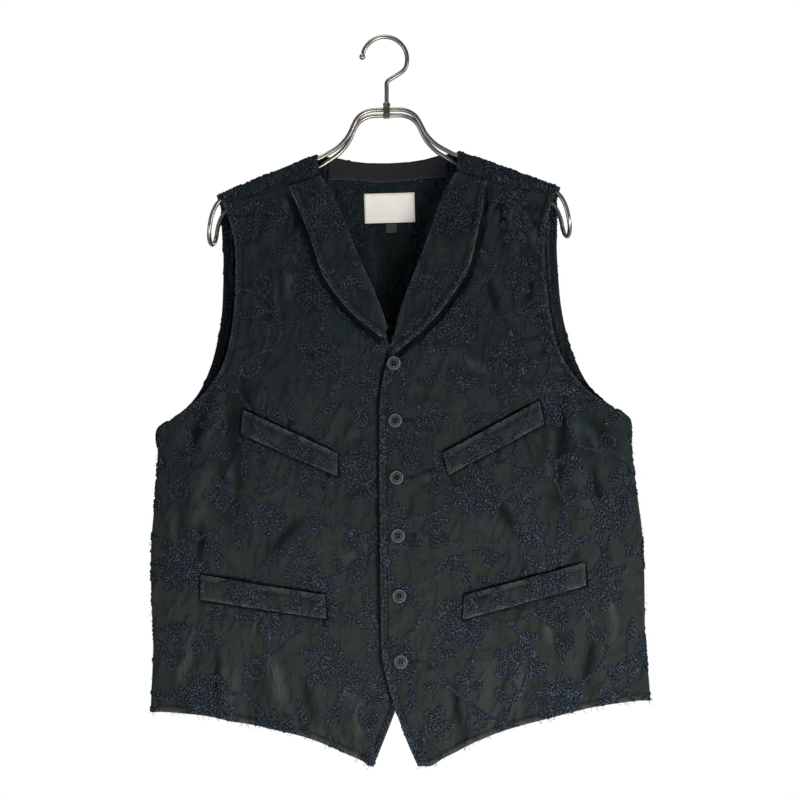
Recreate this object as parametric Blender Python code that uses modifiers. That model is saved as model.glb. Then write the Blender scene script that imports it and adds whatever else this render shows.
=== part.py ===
"""Embroidered waistcoat, buttoned, hanging on a two-wire steel hanger.

Axes: +Z up, -Y towards the viewer, +X to the viewer's right, so +X is the wearer's left.
The origin is where a rail touches the inside of the hook's top. Tables are in millimetres.
The garment is laid out upright round the centre line CLIP_X and then leans a little
about the hanger's clip. In the tables of the two halves, x runs outwards from that line.
"""

import math
from collections import namedtuple

import bmesh
import bpy
from mathutils import Vector
from mathutils.bvhtree import BVHTree

MM = 0.001

# Hanger: wire, hook and the lean of everything that hangs below the clip
WIRE_R = 2.4
HOOK_R = 24.7
HOOK_BALL_R = 3.4
CLIP_X, CLIP_Z = 2.1, -78.1
HANG_TILT = math.radians(1.35)
WIRE_PITCH = math.radians(12.3)
CLIP_SIZE = (9.0, 26.0, 14.0)
CLIP_HOLE_R = 2.75
STEM_END_Z = -75.8

# Cloth: wall, clearance between pieces, and the turned edge at a side seam
CLOTH_T = 1.6
FACING_T = 1.0
LABEL_T = 0.7
WELT_T = 2.0
GAP = 0.3
SEAM_HALF_GAP = 0.15
EDGE_TURN = 2.0
VENT_OPEN = 2.5
OVERLAP_SHIFT = 1.25
ROLL_INSET = 2.6
STEEPEST = 0.35
FACET_SLACK = 0.45
UNDERARM_Z = -424.0
UNDERARM_HALF = 262.0

# Buttons: 24 ligne, four holes
BUTTON_D = 15.0
BUTTON_T = 3.4
BUTTON_X = 3.6
BUTTON_Z = (-357.6, -419.2, -480.5, -542.9, -607.7, -678.3)

# One row for each level of a front panel, from the hem up: the level and place of the
# front edge of the top and the under layer, the side seam or armhole, and how many
# steps lead to the next row.
FrontRow = namedtuple("FrontRow", "edge_z top_x under_x side_x side_z steps")
FRONT_ROWS = (
    FrontRow(-792.0, 17.3, 30.8, 273.5, -733.0, 1),
    FrontRow(-768.0, 7.3, 20.6, 272.5, -712.0, 1),
    FrontRow(-742.0, -1.8, 9.8, 271.0, -690.0, 1),
    FrontRow(-710.0, -11.0, -3.0, 269.5, -661.0, 1),
    FrontRow(-672.0, -18.7, -19.0, 270.0, -625.0, 1),
    FrontRow(-625.0, -18.6, -21.3, 270.3, -587.0, 1),
    FrontRow(-578.0, -18.2, -21.3, 269.0, -548.0, 1),
    FrontRow(-531.0, -17.4, -21.3, 265.0, -510.0, 1),
    FrontRow(-484.0, -16.8, -21.3, 261.5, -477.0, 1),
    FrontRow(-440.0, -16.0, -21.0, 259.5, -449.0, 1),
    FrontRow(-397.0, -14.4, -20.0, 258.5, -424.0, 2),
    FrontRow(-365.0, -9.3, -9.3, 236.0, -409.5, 1),
    FrontRow(-338.0, 0.0, 0.0, 213.0, -393.0, 2),
    FrontRow(-310.0, 7.7, 7.7, 195.0, -373.0, 1),
    FrontRow(-284.0, 16.5, 16.5, 181.0, -348.0, 2),
    FrontRow(-254.0, 29.0, 29.0, 173.5, -318.0, 1),
    FrontRow(-225.0, 41.0, 41.0, 169.5, -288.0, 1),
    FrontRow(-200.0, 50.0, 50.0, 168.0, -258.0, 1),
    FrontRow(-180.0, 58.5, 58.5, 168.0, -232.0, 1),
    FrontRow(-164.5, 66.0, 66.0, 172.0, -206.0, 1),
    FrontRow(-149.7, 74.4, 74.4, 180.0, -178.9, 0),
)
# Where across a panel its columns lie, closer together towards the side seam
FRONT_COLUMNS = (0.0, 0.045, 0.1, 0.165, 0.235, 0.305, 0.375, 0.445, 0.515, 0.585,
                 0.655, 0.725, 0.79, 0.85, 0.905, 0.955, 1.0)

# Back: half of it, from the hem up. The middle line and the side seam or armhole.
BackRow = namedtuple("BackRow", "middle_z side_x side_z steps")
BACK_ROWS = (
    BackRow(-722.0, 273.5, -733.0, 1),
    BackRow(-703.0, 272.5, -712.0, 1),
    BackRow(-682.0, 271.0, -690.0, 1),
    BackRow(-654.0, 269.5, -661.0, 1),
    BackRow(-619.0, 270.0, -625.0, 1),
    BackRow(-582.0, 270.3, -587.0, 1),
    BackRow(-543.0, 269.0, -548.0, 1),
    BackRow(-505.0, 265.0, -510.0, 1),
    BackRow(-470.0, 261.5, -477.0, 1),
    BackRow(-439.0, 259.5, -449.0, 1),
    BackRow(-408.0, 258.5, -424.0, 2),
    BackRow(-378.0, 240.0, -410.0, 1),
    BackRow(-350.0, 217.5, -386.0, 1),
    BackRow(-322.0, 203.5, -358.0, 1),
    BackRow(-292.0, 194.5, -328.0, 1),
    BackRow(-262.0, 189.0, -298.0, 1),
    BackRow(-231.0, 186.5, -266.0, 1),
    BackRow(-200.0, 185.5, -234.0, 1),
    BackRow(-168.0, 186.5, -206.0, 1),
    BackRow(-133.7, 187.0, -183.0, 0),
)
NECK_COLUMNS = 6
BACK_COLUMNS = (0.0, 0.0625, 0.125, 0.1875, 0.25, 0.3125, 0.375, 0.47, 0.565, 0.66,
                0.75, 0.83, 0.9, 0.955, 1.0)

# Top line of the back: the neckline, then the line behind the hanger's back wire
NECKLINE = ((0.0, -133.7), (23.0, -133.0), (41.0, -130.6), (55.0, -127.2), (70.0, -125.2))
NECK_Y = ((0.0, 21.5), (40.0, 20.5), (70.0, 17.2))
NECK_CORNER_X = 70.0
# The neck edge of the strap on its way over the shoulder, and how far it lies above the wires
StrapRow = namedtuple("StrapRow", "neck_x neck_lift end_x")
STRAP_ROWS = (
    StrapRow(71.5, 6.0, 187.0),
    StrapRow(73.5, 4.5, 187.0),
    StrapRow(77.0, 0.6, 187.0),
    StrapRow(77.0, 0.3, 186.0),
    StrapRow(76.4, 0.0, 183.5),
    StrapRow(74.4, 0.0, 180.0),
)
SHOULDER_SEAM = ((74.4, -149.7), (106.0, -160.0), (127.0, -166.5), (165.0, -175.5),
                 (180.0, -178.9))
HEM = ((0.0, -795.0), (31.0, -792.0), (44.0, -784.5), (57.0, -778.5), (80.0, -767.5),
       (103.0, -758.5), (130.0, -751.5), (155.0, -746.0), (181.0, -740.5),
       (207.0, -735.5), (233.0, -733.0), (260.0, -731.8), (273.5, -733.0))

# How far the front and the back stand off the side seams' plane, by height
FRONT_DEPTH = ((-795.0, 37.0), (-733.0, 38.5), (-560.0, 39.0), (-424.0, 38.0),
               (-330.0, 35.0), (-260.0, 30.0), (-200.0, 24.0), (-150.0, 19.0))
BACK_DEPTH = ((-735.0, 37.0), (-560.0, 38.0), (-424.0, 35.0), (-300.0, 30.0),
              (-200.0, 25.0), (-133.0, 21.5))
LENS_POWER, LENS_ROUND = 2.4, 0.62

# The front wire of the hanger outwards from the clip, and half the spread of the wires
WIRE_ROUTE = ((0.0, -79.3), (9.0, -79.3), (18.0, -79.8), (26.0, -82.6), (32.0, -87.4),
              (36.4, -94.6), (42.5, -106.8), (52.5, -118.0), (64.0, -125.5),
              (76.6, -132.0), (107.5, -143.6), (149.0, -160.0), (176.0, -170.7),
              (184.5, -176.4), (190.0, -184.0), (193.8, -194.0), (195.6, -203.5))
CLOTH_LINE = ((0.0, -79.3), (52.5, -118.0), (64.0, -125.5), (76.6, -132.0),
              (107.5, -143.6), (149.0, -160.0), (176.0, -170.7), (190.0, -176.4))
WIRE_SPREAD = ((0.0, 8.0), (34.0, 8.0), (52.0, 9.5), (77.0, 12.0), (130.0, 15.0),
               (176.0, 17.0), (200.0, 17.0))
END_DROP_X = 198.3

# Hook route below its circle, from the viewer's right back to the stem
HOOK_START_DEG, HOOK_END_DEG = 165.0, -8.0
HOOK_NECK = ((23.2, -31.0), (19.6, -35.4), (14.2, -39.4), (7.6, -43.4), (3.6, -46.2),
             (2.2, -49.6), (2.2, -56.0), (2.2, -66.0), (2.2, STEM_END_Z))

# Folds: from one end to the other, half the width, and the height (troughs below zero)
Fold = namedtuple("Fold", "x0 z0 x1 z1 width height")
FRONT_RIGHT_FOLDS = (
    Fold(116.0, -172.0, 137.0, -214.0, 10.0, 3.2),
    Fold(100.0, -240.0, 101.0, -276.0, 11.0, -2.4),
    Fold(131.0, -276.0, 132.0, -306.0, 11.0, -2.2),
    Fold(166.0, -380.0, 190.0, -512.0, 14.0, -5.0),
    Fold(190.0, -400.0, 214.0, -520.0, 14.0, 3.2),
    Fold(234.0, -470.0, 238.0, -535.0, 12.0, -3.0),
    Fold(184.0, -690.0, 187.0, -738.0, 13.0, 4.0),
    Fold(158.0, -680.0, 156.0, -742.0, 12.0, -2.8),
)
FRONT_LEFT_FOLDS = (
    Fold(109.0, -168.0, 96.0, -236.0, 10.0, 3.0),
    Fold(131.0, -174.0, 156.0, -250.0, 10.0, 2.6),
    Fold(148.0, -190.0, 146.0, -246.0, 9.0, -2.4),
    Fold(180.0, -404.0, 178.0, -510.0, 13.0, -5.0),
    Fold(224.0, -430.0, 250.0, -470.0, 12.0, -3.4),
    Fold(174.0, -636.0, 172.0, -662.0, 11.0, -3.0),
    Fold(96.0, -690.0, 92.0, -750.0, 14.0, 3.0),
)
BACK_FOLDS = (
    Fold(-60.0, -190.0, -78.0, -330.0, 14.0, -4.0),
    Fold(70.0, -200.0, 58.0, -360.0, 15.0, -4.2),
    Fold(-150.0, -400.0, -122.0, -560.0, 16.0, -5.0),
    Fold(140.0, -420.0, 166.0, -600.0, 16.0, -4.6),
    Fold(2.0, -480.0, 10.0, -690.0, 19.0, 4.0),
    Fold(-202.0, -600.0, -206.0, -728.0, 14.0, 3.6),
    Fold(214.0, -570.0, 202.0, -724.0, 14.0, 3.4),
)

# Lapels: the fold line on the front's edge and the free edge opposite it
LapelRow = namedtuple("LapelRow", "fold_x fold_z free_x free_z")
LAPEL_LEFT_ROWS = (
    LapelRow(-1.0, -339.5, 4.5, -345.5),
    LapelRow(3.4, -326.0, 12.7, -339.2),
    LapelRow(9.3, -304.0, 30.0, -325.5),
    LapelRow(16.5, -284.0, 50.0, -306.0),
    LapelRow(23.0, -268.0, 67.4, -284.0),
    LapelRow(30.5, -250.5, 80.0, -266.0),
    LapelRow(37.5, -233.5, 88.5, -245.0),
    LapelRow(44.2, -216.0, 94.0, -224.0),
    LapelRow(51.8, -196.0, 99.0, -202.0),
    LapelRow(59.8, -177.0, 102.5, -182.0),
    LapelRow(66.7, -163.0, 105.0, -171.0),
    LapelRow(73.9, -150.6, 107.5, -161.2),
)
LAPEL_RIGHT_ROWS = (
    LapelRow(4.8, -321.0, 11.0, -329.5),
    LapelRow(9.3, -304.0, 29.0, -315.0),
    LapelRow(16.5, -284.0, 44.0, -301.0),
    LapelRow(23.0, -268.0, 57.0, -285.0),
    LapelRow(30.5, -250.5, 67.5, -270.0),
    LapelRow(37.5, -233.5, 76.0, -252.0),
    LapelRow(44.2, -216.0, 81.5, -233.0),
    LapelRow(51.8, -196.0, 88.5, -212.0),
    LapelRow(59.8, -177.0, 96.0, -191.0),
    LapelRow(66.7, -163.0, 102.5, -176.0),
    LapelRow(73.9, -150.6, 108.5, -162.5),
)
LAPEL_REST = 0.5 * CLOTH_T + GAP + 0.5 * CLOTH_T + 0.25
LAPEL_LIFT = 4.0
# Across a lapel: how far along, and how far back the roll lies behind its resting height
LapelColumn = namedtuple("LapelColumn", "across roll inset")
LAPEL_COLUMNS = (LapelColumn(0.0, 2.4, 0.0), LapelColumn(0.0, 0.9, 0.1),
                 LapelColumn(0.05, 0.0, 0.0), LapelColumn(0.3, 0.0, 0.0),
                 LapelColumn(0.6, 0.0, 0.0), LapelColumn(1.0, 0.0, 0.0))

# Pocket welts: the corners of each, upper edge first, and how far the mouth gapes
Welt = namedtuple("Welt", "in_top_x in_top_z out_top_x out_top_z "
                          "out_low_x out_low_z in_low_x in_low_z")
WELTS = {
    "welt_chest_right": Welt(61.7, -452.9, 162.5, -404.0, 165.0, -430.0, 62.3, -477.3),
    "welt_chest_left": Welt(52.5, -455.0, 157.4, -401.7, 161.4, -426.8, 57.5, -479.0),
    "welt_hip_right": Welt(78.7, -605.0, 212.8, -581.7, 213.8, -608.0, 77.6, -630.4),
    "welt_hip_left": Welt(71.7, -608.5, 202.3, -578.2, 203.6, -602.5, 69.0, -634.8),
}
WELT_GAPE = 1.6

# Linings that show inside: neck facing, armhole facings, label and size tab
FACING_HALF = 67.0
FACING_LOW = ((0.0, -154.8), (12.0, -154.9), (25.0, -153.6), (45.0, -151.6), (67.0, -151.0))
ARMHOLE_ROWS = (13, 19)
LABEL_CENTRE, LABEL_SIZE, LABEL_TURN = (2.8, -183.4), (56.0, 32.6), math.radians(0.3)
TAB_CENTRE, TAB_SIZE = (4.0, -205.6), (12.2, 10.4)


def between(table, at):
    """Value of a two-column table at a place, straight between its rows."""
    if at <= table[0][0]:
        return table[0][1]
    for (x0, y0), (x1, y1) in zip(table, table[1:]):
        if at <= x1:
            return y0 + (y1 - y0) * (at - x0) / (x1 - x0)
    return table[-1][1]


def ease(low, high, at):
    """0 below low, 1 above high, smooth between them."""
    t = min(1.0, max(0.0, (at - low) / (high - low)))
    return t * t * (3.0 - 2.0 * t)


def mix(a, b, t):
    return a + (b - a) * t


def spline(rows, t):
    """Catmull-Rom curve through rows of numbers, with t counted in rows."""
    k = min(int(t), len(rows) - 2)
    u = t - k
    before = rows[max(k - 1, 0)]
    after = rows[min(k + 2, len(rows) - 1)]
    values = []
    for a, b, c, d in zip(before, rows[k], rows[k + 1], after):
        values.append(0.5 * (2.0 * b + (c - a) * u + (2.0 * a - 5.0 * b + 4.0 * c - d) * u * u
                             + (3.0 * b - a - 3.0 * c + d) * u ** 3))
    return values


def stations(rows):
    """The places, counted in rows, at which a table is read."""
    places = []
    for k, row in enumerate(rows[:-1]):
        places += [k + step / row.steps for step in range(row.steps)]
    return places + [float(len(rows) - 1)]


def lean(x, y, z):
    """A point of the upright garment, turned about the clip, in metres."""
    dx, dz = x - CLIP_X, z - CLIP_Z
    cos, sin = math.cos(HANG_TILT), math.sin(HANG_TILT)
    return Vector((CLIP_X + dx * cos - dz * sin, y, CLIP_Z + dx * sin + dz * cos)) * MM


def clear_scene():
    for obj in list(bpy.data.objects):
        bpy.data.objects.remove(obj, do_unlink=True)
    for collection in list(bpy.data.collections):
        bpy.data.collections.remove(collection)


def new_collection(name):
    collection = bpy.data.collections.new(name)
    bpy.context.scene.collection.children.link(collection)
    return collection


def principled(name, hex_colour, roughness, metallic=0.0):
    """A Principled material; the colour is an sRGB hex value."""
    material = bpy.data.materials.new(name)
    material.use_nodes = True
    shader = material.node_tree.nodes["Principled BSDF"]
    channels = [int(hex_colour[i:i + 2], 16) / 255.0 for i in (0, 2, 4)]
    linear = [c / 12.92 if c <= 0.04045 else ((c + 0.055) / 1.055) ** 2.4 for c in channels]
    shader.inputs["Base Color"].default_value = (*linear, 1.0)
    shader.inputs["Roughness"].default_value = roughness
    shader.inputs["Metallic"].default_value = metallic
    return material


def add_object(name, data, collection, material):
    obj = bpy.data.objects.new(name, data)
    collection.objects.link(obj)
    data.materials.append(material)
    return obj


# A built panel, upright and in millimetres: its middle surface, and each grid point's
# place and normal
Panel = namedtuple("Panel", "tree points")


def sheet(name, columns, rows, point, thickness, collection, material, leave_out=None):
    """A cloth piece: a grid laid on a surface and given its wall by Solidify."""
    bm = bmesh.new()
    bmesh.ops.create_grid(bm, x_segments=columns, y_segments=rows, size=0.5)
    for vert in bm.verts:
        i = round((vert.co.x + 0.5) * columns)
        j = round((vert.co.y + 0.5) * rows)
        vert.co = (i, j, 0.0)
    if leave_out:
        gone = [f for f in bm.faces if leave_out(f.calc_center_median())]
        bmesh.ops.delete(bm, geom=gone, context="FACES")
    steps = [(round(vert.co.x), round(vert.co.y)) for vert in bm.verts]
    for vert, step in zip(bm.verts, steps):
        vert.co = point(*step)
    bm.normal_update()
    bm.verts.index_update()
    faces = [[v.index for v in f.verts] for f in bm.faces]
    tree = BVHTree.FromPolygons([v.co.copy() for v in bm.verts], faces)
    points = {step: (v.co.copy(), v.normal.copy()) for v, step in zip(bm.verts, steps)}
    for vert in bm.verts:
        vert.co = lean(*vert.co)
    mesh = bpy.data.meshes.new(name)
    bm.to_mesh(mesh)
    bm.free()
    obj = add_object(name, mesh, collection, material)
    mesh.shade_smooth()
    wall = obj.modifiers.new("wall", "SOLIDIFY")
    wall.thickness = thickness * MM
    wall.offset = 0.0
    return Panel(tree, points)


def depth_on(panel, x, z, start_y, rest):
    """The y at x, z of a layer that lies a distance in front of a panel's middle surface."""
    hit, normal, _, _ = panel.tree.ray_cast(Vector((x, start_y, z)), Vector((0.0, 1.0, 0.0)))
    if hit is None:
        hit, normal, _, _ = panel.tree.find_nearest(Vector((x, start_y, z)))
    return hit.y - rest / max(STEEPEST, abs(normal.y))


def lens(depth, half_share):
    """Depth of the hanging garment's flat, almond-shaped section."""
    share = min(1.0, abs(half_share))
    return EDGE_TURN + (depth - EDGE_TURN) * (1.0 - share ** LENS_POWER) ** LENS_ROUND


def half_width(z):
    table = [(row.side_z, row.side_x) for row in FRONT_ROWS if row.side_z < UNDERARM_Z]
    return between(table + [(UNDERARM_Z, UNDERARM_HALF)], z)


def fold_height(folds, x, z):
    """Sum of the soft ridges and troughs at a place on a panel."""
    total = 0.0
    for fold in folds:
        dx, dz = fold.x1 - fold.x0, fold.z1 - fold.z0
        along = ((x - fold.x0) * dx + (z - fold.z0) * dz) / (dx * dx + dz * dz)
        along = min(1.0, max(0.0, along))
        away = math.hypot(x - fold.x0 - along * dx, z - fold.z0 - along * dz)
        total += fold.height * math.exp(-(away / fold.width) ** 2)
    return total


def cloth_radius():
    """From a wire's centre to the corners of the cloth's section where it lies on it."""
    return WIRE_R + GAP + 0.5 * CLOTH_T + FACET_SLACK


def front_shoulder_y(x):
    return between(WIRE_SPREAD, x) + cloth_radius() + 0.8


def front_y(x, z, layer, folds):
    """Middle surface of a front panel; layer is 1 on top at the buttons, -1 under."""
    ring = lens(between(FRONT_DEPTH, z), x / half_width(z))
    below_seam = between(SHOULDER_SEAM, x) - z
    near_seam = 1.0 - ease(0.0, 90.0, below_seam)
    y = mix(ring, front_shoulder_y(x), near_seam)
    at_edge = (1.0 - ease(25.0, 75.0, abs(x))) * (1.0 - ease(-335.0, -290.0, z))
    away_from_side = 1.0 - ease(0.82, 0.97, abs(x) / half_width(z))
    y += layer * OVERLAP_SHIFT * at_edge
    y += fold_height(folds, x, z) * away_from_side * (1.0 - near_seam ** 2)
    return -y


def front_panel(name, side, layer, folds, collection, material):
    """One front from the buttoned edge to the side seam and up to the shoulder seam."""
    places = stations(FRONT_ROWS)
    last = len(FRONT_COLUMNS)

    def point(i, j):
        edge_z, top_x, under_x, side_x, side_z, _ = spline(FRONT_ROWS, places[j])
        in_v = ease(-400.0, -330.0, edge_z)
        edge_x = mix(under_x, top_x, 0.5 + 0.5 * layer) + ROLL_INSET * in_v
        open_side = ease(UNDERARM_Z, UNDERARM_Z + 26.0, side_z)
        across = FRONT_COLUMNS[min(i, last - 1)]
        x = side_x if i == last else mix(edge_x, side_x - 3.0 * open_side, across)
        z = mix(edge_z, side_z, across)
        line = mix(FRONT_ROWS[0].edge_z, FRONT_ROWS[0].side_z, across)
        z += (between(HEM, x) - line) * (1.0 - ease(0.0, 5.0, places[j])) * ease(0.0, 0.05, across)
        line = mix(FRONT_ROWS[-1].edge_z, FRONT_ROWS[-1].side_z, across)
        near_seam = ease(len(FRONT_ROWS) - 5.0, len(FRONT_ROWS) - 1.0, places[j])
        z += (between(SHOULDER_SEAM, x) - line) * near_seam
        z -= 0.5 * (GAP + 0.1) * ease(len(FRONT_ROWS) - 2.0, len(FRONT_ROWS) - 1.0, places[j])
        y = front_y(x, z, layer, folds)
        if i == last:
            y = mix(-SEAM_HALF_GAP, y, open_side)
        y -= VENT_OPEN * (1.0 - ease(0.0, 3.0, places[j])) * ease(0.9, 1.0, across)
        return CLIP_X + side * x, y, z

    return sheet(name, last, len(places) - 1, point, CLOTH_T, collection, material)


def arch_point(step, x, lift):
    """Section of the strap over the two wires, from behind the back one to the front seam."""
    spread = between(WIRE_SPREAD, x)
    front_z = between(CLOTH_LINE, x)
    back_z = front_z - 2.0 * spread * math.tan(WIRE_PITCH)
    radius = cloth_radius()
    up_y, up_z = radius * math.sin(WIRE_PITCH), radius * math.cos(WIRE_PITCH)
    slant = radius * math.sqrt(0.5)
    section = (
        (spread + slant, back_z + slant),
        (spread + up_y, back_z + up_z),
        (-spread + up_y - 1.2, front_z + up_z),
        (-spread - 0.75 * radius, front_z + 0.66 * radius),
        (-spread - radius - 0.2, front_z - 1.5),
        (-front_shoulder_y(x), between(SHOULDER_SEAM, x) + 0.5 * (GAP + 0.1)),
    )
    y, z = section[step]
    return y, z + lift


def back_top(x):
    """Height and depth of the back's last full row."""
    if x <= NECK_CORNER_X:
        return between(NECKLINE, x), between(NECK_Y, x)
    spread = between(WIRE_SPREAD, x)
    z = between(CLOTH_LINE, x) - 2.0 * spread * math.tan(WIRE_PITCH)
    lift = 8.0 * (1.0 - ease(NECK_CORNER_X, NECK_CORNER_X + 18.0, x))
    return z + lift, spread + cloth_radius()


def back_panel(collection, material):
    """The whole back with both straps, which end at the forward shoulder seams."""
    places = stations(BACK_ROWS)
    full_rows = len(places) - 1
    last = len(BACK_COLUMNS)
    top_index = len(BACK_ROWS) - 1.0

    def half_point(i, j, side):
        open_side = 1.0
        if j > full_rows:
            row = STRAP_ROWS[j - full_rows - 1]
            share = (BACK_COLUMNS[min(i, last - 1)] - BACK_COLUMNS[NECK_COLUMNS]) \
                / (1.0 - BACK_COLUMNS[NECK_COLUMNS])
            x = mix(row.neck_x, row.end_x - 3.0, max(0.0, share))
            if i == last:
                x = row.end_x
            lift = row.neck_lift * (1.0 - ease(0.0, 0.2, share))
            return (x, *arch_point(j - full_rows - 1, x, lift))
        middle_z, side_x, side_z, _ = spline(BACK_ROWS, places[j])
        open_side = ease(UNDERARM_Z, UNDERARM_Z + 26.0, side_z)
        across = BACK_COLUMNS[min(i, last - 1)]
        x = (side_x - 3.0 * open_side) * across
        z = mix(middle_z, side_z, across ** 2)
        to_top = ease(top_index - 6.0, top_index, places[j])
        line = mix(BACK_ROWS[-1].middle_z, BACK_ROWS[-1].side_z, across ** 2)
        top_z, top_y = back_top(x)
        z += (top_z - line) * to_top
        ring = lens(between(BACK_DEPTH, z), x / half_width(z))
        y = mix(ring, top_y, ease(0.0, 1.0, 1.0 - (top_z - z) / 75.0))
        calm = (1.0 - ease(0.82, 0.97, x / half_width(z))) * ease(0.0, 60.0, top_z - z)
        y += fold_height(BACK_FOLDS, side * x, z) * calm
        if i == last:
            x = side_x
            y = mix(SEAM_HALF_GAP, y, open_side)
        y += VENT_OPEN * (1.0 - ease(0.0, 3.0, places[j])) * ease(0.9, 1.0, across)
        return x, y, z

    def point(i, j):
        side = 1.0 if i >= last else -1.0
        x, y, z = half_point(abs(i - last), j, side)
        return CLIP_X + side * x, y, z

    def in_neck(centre):
        return centre.y > full_rows and abs(centre.x - last) < NECK_COLUMNS

    rows = full_rows + len(STRAP_ROWS)
    return sheet("back", 2 * last, rows, point, CLOTH_T, collection, material, in_neck)


def lapel(name, side, rows, panel, collection, material):
    """A lapel, rolled round the front's edge and lying on it with its free edge raised."""
    steps = 2 * (len(rows) - 1)

    def point(i, j):
        fold_x, fold_z, free_x, free_z = spline(rows, j / 2.0)
        column = LAPEL_COLUMNS[i]
        x = mix(fold_x, free_x, column.across) - column.inset
        z = mix(fold_z, free_z, column.across)
        length = math.hypot(free_x - fold_x, free_z - fold_z)
        lift = LAPEL_LIFT * column.across ** 2 * ease(0.0, 30.0, length)
        near_seam = ease(-175.0, -160.0, z)
        lift *= 1.0 - 0.8 * near_seam
        world_x = CLIP_X + side * max(x, fold_x + ROLL_INSET + 0.6)
        y = depth_on(panel, world_x, z, -200.0, LAPEL_REST) - lift + column.roll
        return CLIP_X + side * x, y, z

    sheet(name, len(LAPEL_COLUMNS) - 1, steps, point, CLOTH_T, collection, material)


def pocket_welt(name, side, welt, panel, collection, material):
    """A welt, stitched down at its foot and standing off a little at its mouth."""
    columns, rows = 14, 3
    rest = 0.5 * CLOTH_T + GAP + 0.5 * WELT_T + FACET_SLACK

    def point(i, j):
        u, v = i / columns, j / rows
        low = (mix(welt.in_low_x, welt.out_low_x, u), mix(welt.in_low_z, welt.out_low_z, u))
        top = (mix(welt.in_top_x, welt.out_top_x, u), mix(welt.in_top_z, welt.out_top_z, u))
        x, z = mix(low[0], top[0], v), mix(low[1], top[1], v)
        gape = WELT_GAPE * v * v * math.sin(math.pi * u) ** 0.5
        y = depth_on(panel, CLIP_X + side * x, z, -200.0, rest) - gape
        return CLIP_X + side * x, y, z

    sheet(name, columns, rows, point, WELT_T, collection, material)


def neck_facing(back, collection, material):
    """The smooth facing inside the back of the neck."""
    columns, rows = 14, 3
    rest = 0.5 * CLOTH_T + GAP + 0.5 * FACING_T + 0.1

    def point(i, j):
        x = mix(-FACING_HALF, FACING_HALF, i / columns)
        top = between(NECKLINE, abs(x)) - 0.8
        z = mix(between(FACING_LOW, abs(x)), top, j / rows)
        y = depth_on(back, CLIP_X + x, z, 0.0, rest)
        return CLIP_X + x, y, z

    sheet("neck_facing", columns, rows, point, FACING_T, collection, material)


def armhole_facing(name, side, back, collection, material):
    """A narrow facing strip inside the back's armhole, made from the back's own points."""
    first, end = ARMHOLE_ROWS
    rest = 0.5 * CLOTH_T + GAP + 0.5 * FACING_T + FACET_SLACK
    last = len(BACK_COLUMNS)

    def point(i, j):
        place, normal = back.points[(last + round(side) * (last - i), first + j)]
        inward = -normal if normal.y > 0.0 else normal
        return place + inward * rest

    sheet(name, 2, end - first, point, FACING_T, collection, material)


def patch(name, centre, size, turn, back, collection, material):
    """A small woven label, flat against the inside of the back."""
    columns, rows = 5, 3
    rest = 0.5 * CLOTH_T + GAP + 0.5 * LABEL_T + 0.15

    def point(i, j):
        u, v = (i / columns - 0.5) * size[0], (j / rows - 0.5) * size[1]
        x = centre[0] + u * math.cos(turn) - v * math.sin(turn)
        z = centre[1] + u * math.sin(turn) + v * math.cos(turn)
        return x, depth_on(back, x, z, 0.0, rest), z

    sheet(name, columns, rows, point, LABEL_T, collection, material)


def cylinder_cutter(name, radius, length, place, turn, collection, sides=12):
    bpy.ops.mesh.primitive_cylinder_add(vertices=sides, radius=radius * MM,
                                        depth=length * MM, location=place, rotation=turn)
    cutter = bpy.context.object
    cutter.name = name
    for other in list(cutter.users_collection):
        other.objects.unlink(cutter)
    collection.objects.link(cutter)
    cutter.hide_render = True
    cutter.display_type = "WIRE"
    return cutter


def cut(obj, cutter):
    hole = obj.modifiers.new(cutter.name, "BOOLEAN")
    hole.operation = "DIFFERENCE"
    hole.solver = "EXACT"
    hole.object = cutter


def button(index, panel, collection, cutters, material):
    """A turned four-hole button with a raised rim, lying on the top layer."""
    z = BUTTON_Z[index]
    y = depth_on(panel, BUTTON_X, z, -200.0, 0.5 * CLOTH_T + GAP + 0.2)
    radius = 0.5 * BUTTON_D
    # Radius and height above the cloth, from the middle of the face to the middle of the back
    profile = ((0.0, 2.3), (4.6, 2.3), (5.4, BUTTON_T), (6.8, BUTTON_T - 0.2),
               (radius, 1.9), (radius - 0.9, 0.3), (5.2, 0.0), (0.0, 0.0))
    mesh = bpy.data.meshes.new("button")
    bm = bmesh.new()
    verts = [bm.verts.new((r * MM, 0.0, h * MM)) for r, h in profile]
    for a, b in zip(verts, verts[1:]):
        bm.edges.new((a, b))
    bm.to_mesh(mesh)
    bm.free()
    obj = add_object(f"button_{index + 1}", mesh, collection, material)
    turned = obj.modifiers.new("turned", "SCREW")
    turned.steps = turned.render_steps = 16
    turned.use_merge_vertices = True
    turned.merge_threshold = 0.00001
    obj.location = lean(BUTTON_X, y, z)
    obj.rotation_euler = (math.radians(90.0), 0.0, 0.0)
    for k in range(4):
        angle = math.radians(45.0 + 90.0 * k)
        place = obj.location + Vector((math.cos(angle), 0.0, math.sin(angle))) * 1.9 * MM
        cutter = cylinder_cutter(f"button_{index + 1}_hole_{k + 1}", 0.9, 20.0, place,
                                 (math.radians(90.0), 0.0, 0.0), cutters, sides=6)
        cut(obj, cutter)
    return obj


def wire_object(name, points, radius, closed, collection, material):
    """A wire along points in metres, with filled ends if it isn't a loop."""
    curve = bpy.data.curves.new(name, "CURVE")
    curve.dimensions = "3D"
    curve.bevel_depth = radius * MM
    curve.bevel_resolution = 2
    curve.use_fill_caps = not closed
    line = curve.splines.new("POLY")
    line.points.add(len(points) - 1)
    for target, place in zip(line.points, points):
        target.co = (*place, 1.0)
    line.use_cyclic_u = closed
    return add_object(name, curve, collection, material)


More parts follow.
